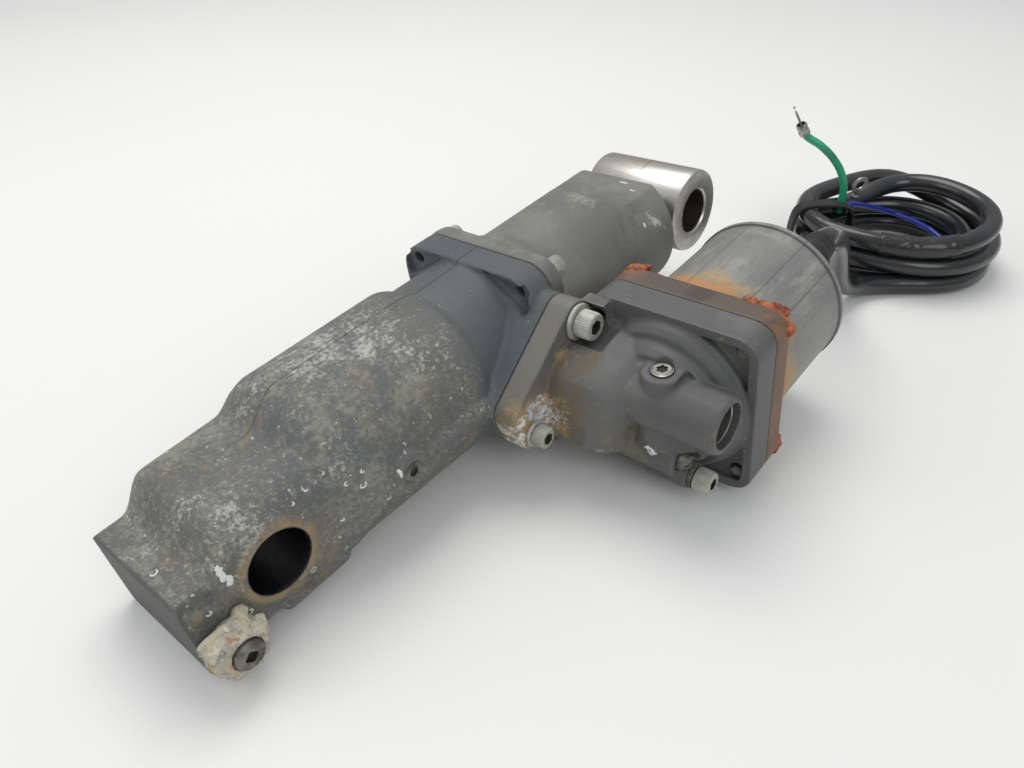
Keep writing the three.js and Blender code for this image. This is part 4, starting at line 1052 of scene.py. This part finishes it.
def belt(turn, inset):
    """A point of the coil's track, a way round from where the lead joins it; inset is how far inside the outer turn."""
    (a, b, r1), (c, d, r2) = NARROW, WIDE
    r1, r2 = r1 - inset, r2 - inset
    heading = math.atan2(d - b, c - a)
    apart = math.dist((a, b), (c, d))
    lean = math.asin((r2 - r1) / apart)
    straight = math.sqrt(apart ** 2 - (r2 - r1) ** 2)
    wide, narrow = (math.pi + 2 * lean) * r2, (math.pi - 2 * lean) * r1
    total = wide + narrow + 2 * straight
    s = (turn % 1.0) * total
    start = heading - math.pi / 2 - lean
    if s < wide:
        angle = start + s / r2
        return c + r2 * math.cos(angle), d + r2 * math.sin(angle)
    s -= wide
    end = start + math.pi + 2 * lean
    if s < straight:
        t = s / straight
        p, q = (c + r2 * math.cos(end), d + r2 * math.sin(end)), (a + r1 * math.cos(end), b + r1 * math.sin(end))
        return p[0] + (q[0] - p[0]) * t, p[1] + (q[1] - p[1]) * t
    s -= straight
    if s < narrow:
        angle = end + s / r1
        return a + r1 * math.cos(angle), b + r1 * math.sin(angle)
    t = (s - narrow) / straight
    p, q = (a + r1 * math.cos(start), b + r1 * math.sin(start)), (c + r2 * math.cos(start), d + r2 * math.sin(start))
    return p[0] + (q[0] - p[0]) * t, p[1] + (q[1] - p[1]) * t


def eased(value, low, high):
    t = min(1.0, max(0.0, (value - low) / (high - low)))
    return t * t * (3 - 2 * t)


def coil_points():
    """Two turns side by side on each of three levels; the cable changes track where the coil is tied."""
    made = []
    count = round(TURNS * 30)
    for k in range(1, count + 1):
        turn = TURNS * k / count
        inset = 12.1 * (eased(turn, 0.86, 0.99) - eased(turn, 2.54, 2.68) + eased(turn, 4.20, 4.36))
        inset += 11.0 * eased(turn, 4.44, 4.70)
        level = eased(turn, 1.69, 1.83) + eased(turn, 3.38, 3.52)
        fan = max(0.0, math.sin(math.pi * min(1.0, (turn % 1.0) / 0.66))) ** 1.5
        height = 6.1 + 12.1 * level + 2.3 * fan * level ** 2
        inset += fan * FAN[int(turn)]
        x, y = belt(turn, inset)
        made.append((x, y, height))
    return made


def relaxed(points, rounds, fixed=2):
    points = [Vector(p) for p in points]
    for _ in range(rounds):
        points = [
            p if i < fixed or i >= len(points) - 1 else p * 0.5 + (points[i - 1] + points[i + 1]) * 0.25
            for i, p in enumerate(points)
        ]
    return points


def cord_curve(name, points, radius, material):
    curve = bpy.data.curves.new(name, "CURVE")
    curve.dimensions = "3D"
    curve.resolution_u = 5
    curve.bevel_depth = radius * MM
    curve.bevel_resolution = 7
    curve.use_fill_caps = True
    spline = curve.splines.new("BEZIER")
    spline.bezier_points.add(len(points) - 1)
    for knot, place in zip(spline.bezier_points, points):
        knot.co = Vector(place) * MM
        knot.handle_left_type = knot.handle_right_type = "AUTO"
    curve.materials.append(material)
    return link(name, curve)


def length_of(points):
    return sum((b - a).length for a, b in zip(points, points[1:]))


def tube_mesh(points, radius, sides, wave=0.0, seed=0):
    """Rings along a path; wave roughens the radius as wrapped tape is."""
    points = [Vector(p) for p in points]
    rings = []
    side = None
    for i, place in enumerate(points):
        ahead = (points[min(i + 1, len(points) - 1)] - points[max(i - 1, 0)]).normalized()
        side = ahead.orthogonal().normalized() if side is None else (side - ahead * side.dot(ahead)).normalized()
        other = ahead.cross(side)
        ring = []
        for k in range(sides):
            turn = 2 * math.pi * k / sides
            r = radius + wave * noise.noise(Vector((i * 0.35, k * 0.6, seed)))
            ring.append(tuple(place + side * (r * math.cos(turn)) + other * (r * math.sin(turn))))
        rings.append(ring)
    return Shell().rings(rings)


def finely(points, spacing):
    """Evenly spaced points along a path."""
    points = [Vector(p) for p in points]
    total = length_of(points)
    count = max(2, round(total / spacing))
    made, walked, i = [points[0]], 0.0, 0
    for k in range(1, count):
        target = total * k / count
        while walked + (points[i + 1] - points[i]).length < target:
            walked += (points[i + 1] - points[i]).length
            i += 1
        step = points[i + 1] - points[i]
        made.append(points[i] + step * ((target - walked) / step.length))
    return made + [points[-1]]


def in_row(made, material, nodes=(), angle=35):
    made.data.transform(Matrix.Scale(MM, 4))
    return dress(made, material, "housing", nodes, angle)


def cable():
    route = relaxed([*LEAD, *coil_points()], 3)
    made = cord_curve("motor_cable", route, CABLE_R, PVC)
    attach(made, "housing")
    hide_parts("cable_lead", "cable_coil")
    coil = route[len(LEAD):]
    tie, wrap, blue = tie_band(), tape_wrap(coil), blue_wire()
    total = length_of(finely(route, 1.0)) * MM


def tie_band():
    """A narrow black tie round the whole bundle at the narrow end."""
    heading = Vector((0.766, 0.643, 0))
    middle = Vector((NARROW[0], NARROW[1], 18.4)) - heading * 27.5
    rings = []
    sides = 64
    for k in range(sides):
        turn = 2 * math.pi * k / sides
        across, up = math.cos(turn), math.sin(turn)
        squeeze = (abs(across) ** 4 + abs(up) ** 4) ** -0.25
        out = heading * (across * squeeze * 18.6) + Vector((0, 0, up * squeeze * 18.3))
        side = heading.cross(Vector((0, 0, 1)))
        centre = middle + out
        away = out.normalized()
        rings.append([tuple(centre + side * w + away * h) for w, h in
                      ((-4.6, 0), (-4.6, 1.3), (-4.0, 1.9), (0, 2.2), (4.0, 1.9), (4.6, 1.3), (4.6, 0))])
    return in_row(Shell().rings(rings, closed=True).made("cable_tie"), RUBBER, ())


def tape_wrap(coil):
    """Shiny tape wound round one strand of the top layer."""
    start = next(i for i, p in enumerate(coil) if i > 30 * 3.93)
    path = finely(coil[start:start + 5], 1.0)
    shell = tube_mesh(path, CABLE_R + 0.8, 40, 0.45, 3.0)
    return in_row(shell.made("tape_wrap"), TAPE, (), 0)


def blue_wire():
    """A loose blue conductor lying inside the loop."""
    path = relaxed([(27, 281, 33), (30, 290, 34), (35, 302, 30), (40, 317, 24), (47, 331, 18), (60, 337.5, 14),
                    (74, 336, 12), (86, 327, 10)], 1)
    shell = tube_mesh(finely(path, 1.2), 1.9, 24)
    return in_row(shell.made("blue_conductor"), BLUE, (), 0)


def ring_terminal():
    start, to = Vector(EARTH[-1]), Vector(TERMINAL_TO)
    away = (to - start).normalized()
    shell = Shell().turned("y", [(2.55, 0.2), (3.3, 0.2), (3.5, 0.8), (3.5, 3.2), (3.05, 3.6), (3.05, 5.2), (3.4, 5.6),
                                 (3.4, 7.2), (3.0, 8.0), (2.55, 8.0)], (0, 0), 64, closed=True)
    made = shell.made("ring_terminal")
    outline = around([(0, 14.2, 6.2), (-1.7, 7.0, 1.6), (1.7, 7.0, 1.6)], 4)
    tongue = carve(Shell().prism("z", outline, -0.7, 0.7).made("tongue"), [bar("z", 2.9, -3, 3, (0, 14.4), 64)])
    joined(made, tongue.data)
    bpy.data.objects.remove(tongue)
    turn = Vector((0, 1, 0)).rotation_difference(away).to_matrix().to_4x4()
    made.data.transform(Matrix.Translation(start) @ turn @ Matrix.Rotation(math.radians(96), 4, "Y"))
    return in_row(made, TINNED, ["ground_terminal"], 28)


def earth_wire():
    terminal = ring_terminal()
    end = Vector(EARTH[-1]) + (Vector(TERMINAL_TO) - Vector(EARTH[-1])).normalized() * 4
    route = [Vector((26.2, 279.8, 30.6)), *[Vector(p) for p in EARTH], end]
    made = cord_curve("earth_wire", route, EARTH_R, GREEN)
    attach(made, "housing")
    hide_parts("ground_wire")
    total = length_of(finely(route, 0.5)) * MM


def power_terminal():
    """The ring of the blue conductor's terminal, standing up behind the top turns."""
    profile = [(3.1, -0.5), (5.6, -0.5), (5.9, -0.25), (5.9, 0.25), (5.6, 0.5), (3.1, 0.5)]
    ring = Shell().turned("x", profile, (0, 0), 64, True)
    ring.turned("z", [(1.4, -15), (2.4, -14.6), (2.4, -8.4), (1.6, -7.4), (1.5, -5)], (0, 0), 32)
    made = ring.made("power_terminal")
    made.data.transform(Matrix.Translation((30, 297, 45)) @ Matrix.Rotation(math.radians(-35), 4, "Z")
                        @ Matrix.Rotation(math.radians(12), 4, "Y"))
    in_row(made, TINNED, (), 28)


cable()
earth_wire()
power_terminal()

# ---- Old sealant, paint chips and crusty marks ----
def sealant(name, corner, low, high, run, seed):
    """A torn bead of sealant round one corner of the joint between adapter and motor."""
    dice = random.Random(seed)
    sx, sz = corner
    a, b = MX + sx * 31.6, MZ + sz * 31.6
    turns = [math.radians(t) for t in range(low, high + 1, 9)]
    places = [(a + 8.6 * math.cos(t), b + 8.6 * math.sin(t)) for t in turns]
    places += [(places[-1][0] + dx, places[-1][1]) for dx in run]
    shell = Shell()
    for x, z in places:
        ball(shell, (x + dice.uniform(-0.8, 0.8), 34.6 + dice.uniform(-1.6, 1.6), z + dice.uniform(-0.9, 0.7)),
             dice.uniform(1.5, 2.9))
        if dice.random() < 0.45:
            ball(shell, (x * 0.97 + MX * 0.03, 37.0 + dice.uniform(0, 2.4), z * 0.97 + MZ * 0.03),
                 dice.uniform(1.0, 2.1))
    made = fused(name, shell, (), 0.5, 2)
    for vert in made.data.vertices:
        vert.co += vert.normal * (0.75 * noise.fractal(vert.co * 0.35, 0.8, 2.1, 4))
    settle(made, SEALANT, "housing", (), 0)


def laid(name, casting, centre, direction, grid, material, rise=0.22):
    """A thin patch pressed on a casting; grid holds rows of (across, along) offsets in mm."""
    tree = SURFACES[casting]
    way = toward(direction).normalized()
    across = way.cross(toward((0, 1, 0))).normalized()
    along = across.cross(way).normalized()
    top, low = [], []
    for row in grid:
        for u, v in row:
            start = at(*centre) + (across * u + along * v + way * 60) * MM
            hit, normal, _, _ = tree.ray_cast(start, -way)
            if hit is None:
                return
            top.append(hit + normal * rise * MM)
            low.append(hit - normal * 0.3 * MM)
    columns, rows = len(grid[0]), len(grid)
    count = rows * columns
    faces = []
    for r in range(rows - 1):
        for c in range(columns - 1):
            i = r * columns + c
            faces.append((i, i + 1, i + columns + 1, i + columns))
            faces.append((count + i, count + i + columns, count + i + columns + 1, count + i + 1))
    edge = [*range(columns), *[r * columns + columns - 1 for r in range(1, rows)],
            *[(rows - 1) * columns + c for c in range(columns - 2, -1, -1)],
            *[r * columns for r in range(rows - 2, 0, -1)]]
    for i, j in zip(edge, edge[1:] + edge[:1]):
        faces.append((j, i, count + i, count + j))
    mesh = bpy.data.meshes.new(name)
    mesh.from_pydata([tuple(v) for v in top + low], [], faces)
    dress(link(name, mesh), material, "housing", (), 0)


def chip_grid(length, width, dice):
    """A torn oval."""
    rows = []
    for k in range(9):
        t = -1 + k / 4
        half = width * math.sqrt(max(0.02, 1 - t * t)) * dice.uniform(0.6, 1.0)
        lean = dice.uniform(-0.25, 0.25) * width
        rows.append([(length * t, lean + half * c) for c in (-1, -0.5, 0, 0.5, 1)])
    return rows


def mark_grid(radius, sweep, dice):
    """A small curl, like the foot of a worn-off barnacle."""
    start = dice.uniform(0, 2 * math.pi)
    rows = []
    for k in range(15):
        turn = start + sweep * k / 14
        thick = 0.26 * math.sin(math.pi * min(1, max(0.12, k / 14))) + 0.10
        reaches = [radius + o * thick for o in (-1, 0, 1)]
        rows.append([(reach * math.cos(turn) * 0.8, reach * math.sin(turn)) for reach in reaches])
    return rows


def surface_tree(name):
    mesh = bpy.data.objects[name].data
    return BVHTree.FromPolygons([vert.co for vert in mesh.vertices], [tuple(face.vertices) for face in mesh.polygons])


SURFACES = {name: surface_tree(name) for name in ("lower_casting", "pump_casting", "upper_casting")}


def wear():
    sealant("sealant_far", (-1, 1), 80, 150, (2.5, 5, 8, 11, 14), 3)
    sealant("sealant_near", (1, 1), 0, 100, (-3, -6, -9), 5)
    sealant("sealant_low", (1, -1), -60, 10, (), 8)
    dice = random.Random(SEED)
    chips = [
        ("lower_casting", (40, -180, 15.5), (1, 0, 0.4), 3.6, 1.9),
        ("lower_casting", (40, -178.6, 8.6), (1, 0, 0), 2.6, 1.9),
        ("lower_casting", (40, -105.5, 3), (1, 0, 0.2), 2.2, 0.9),
        ("pump_casting", (104, -20, -22), (0.2, -1, 0.6), 3.0, 2.3),
        ("upper_casting", (8, 106, 40), (0, 0, 1), 2.6, 0.8), ("upper_casting", (20, 100, 34), (0.4, 0, 1), 1.8, 0.8),
        ("upper_casting", (36, 88, 20), (1, 0, 0.8), 1.6, 0.9),
    ]
    for i, (casting, centre, direction, length, width) in enumerate(chips):
        laid(f"paint_chip_{i + 1}", casting, centre, direction, chip_grid(length, width, dice), FLAKE)
    marks = [
        (30, -140, 16), (30, -132, 17), (29, -147, 14), (38, -121, 8), (36, -119, 12), (36, -132, -3), (34, -190, 2),
        (34, -180, -7), (34, -178, -11), (12, -194, 12), (33, -126, 10), (34, -150, -16), (36, -112, -6),
    ]
    for i, centre in enumerate(marks):
        direction = (0, 0, 1) if centre[0] < 20 else (1, 0, max(0.0, centre[2] / 16))
        grid = mark_grid(dice.uniform(0.6, 1.35), dice.uniform(3.0, 6.1), dice)
        laid(f"barnacle_mark_{i + 1}", "lower_casting", centre, direction, grid, FLAKE, 0.3)


wear()

# ---- Finish of the CAD pieces that stay ----
FINISH = {
    "polished_steel": POLISHED, "steel": STEEL, "fastener": ZINC, "copper": BORE, "bronze": BORE, "magnet": RUBBER,
    "carbon": RUBBER, "seal_rubber": RUBBER, "tinned": TINNED, "anode_zinc": CRUST, "cable_jacket": PVC,
    "earth_insulation": GREEN, "adapter": ADAPTER, "motor_paint": MOTOR_SKIN, "pump_casting": PUMP,
    "upper_casting": UPPER, "lower_casting": LOWER,
}


# Words in a node's name that give it a finish; any other node is plain steel.
KINDS = {
    "seal_rubber": ("seal", "o_ring", "wiper", "gland"), "copper": ("winding", "commutator"), "magnet": ("magnet",),
    "carbon": ("brush",), "bronze": ("rod_guide",),
}


def finish_nodes():
    for made in frame["nodes"].values():
        name = made.name.split(".")[0]
        kind = next((key for key, words in KINDS.items() if any(word in name for word in words)), "steel")
        made.data.materials.clear()
        made.data.materials.append(FINISH[kind])


finish_nodes()


# ---- Floor, light and background ----
def studio():
    floor = Shell().block(-4000, 4000, -4000, 4000, -20, -0.05).made("floor")
    floor.data.transform(Matrix.Scale(MM, 4))
    paint = Paint("pale_floor", (0.845, 0.845, 0.825), 0.75, 0.0, 0.25)
    paint.layer(paint.patch(0.35, 0.7, 400, 2.0), (0.825, 0.825, 0.805))
    floor.data.materials.append(paint.finish())
    world = bpy.data.worlds.new("studio")
    bpy.context.scene.world = world
    world.use_nodes = True
    nodes, links = world.node_tree.nodes, world.node_tree.links
    coords = nodes.new("ShaderNodeTexCoord")
    split = nodes.new("ShaderNodeSeparateXYZ")
    ramp = nodes.new("ShaderNodeMapRange")
    for key, amount in (("From Min", -0.1), ("From Max", 0.9), ("To Min", 0.25), ("To Max", 0.62)):
        ramp.inputs[key].default_value = amount
    links.new(coords.outputs["Generated"], split.inputs[0])
    links.new(split.outputs["Z"], ramp.inputs["Value"])
    back = nodes["Background"]
    back.inputs["Color"].default_value = (0.96, 0.98, 1.0, 1)
    links.new(ramp.outputs[0], back.inputs["Strength"])
    for name, place, aim_at, size, power, color in (
        ("key", (-0.45, 0.35, 1.3), (0, 0.05, 0), 1.0, 9.5, (1.0, 0.985, 0.96)),
        ("fill", (1.2, -0.5, 1.1), (0, 0, 0), 1.0, 6.0, (0.94, 0.97, 1.0)),
        ("low", (-0.9, -0.9, 0.7), (0, -0.05, 0), 0.8, 3.0, (1.0, 1.0, 1.0)),
    ):
        data = bpy.data.lights.new(name, "AREA")
        data.shape = "DISK"
        data.size = size
        data.energy = power
        data.color = color
        lamp = link(name, data)
        lamp.location = place
        lamp.rotation_euler = (Vector(aim_at) - Vector(place)).to_track_quat("-Z", "Y").to_euler()
    bpy.context.scene.view_settings.view_transform = "Standard"


studio()
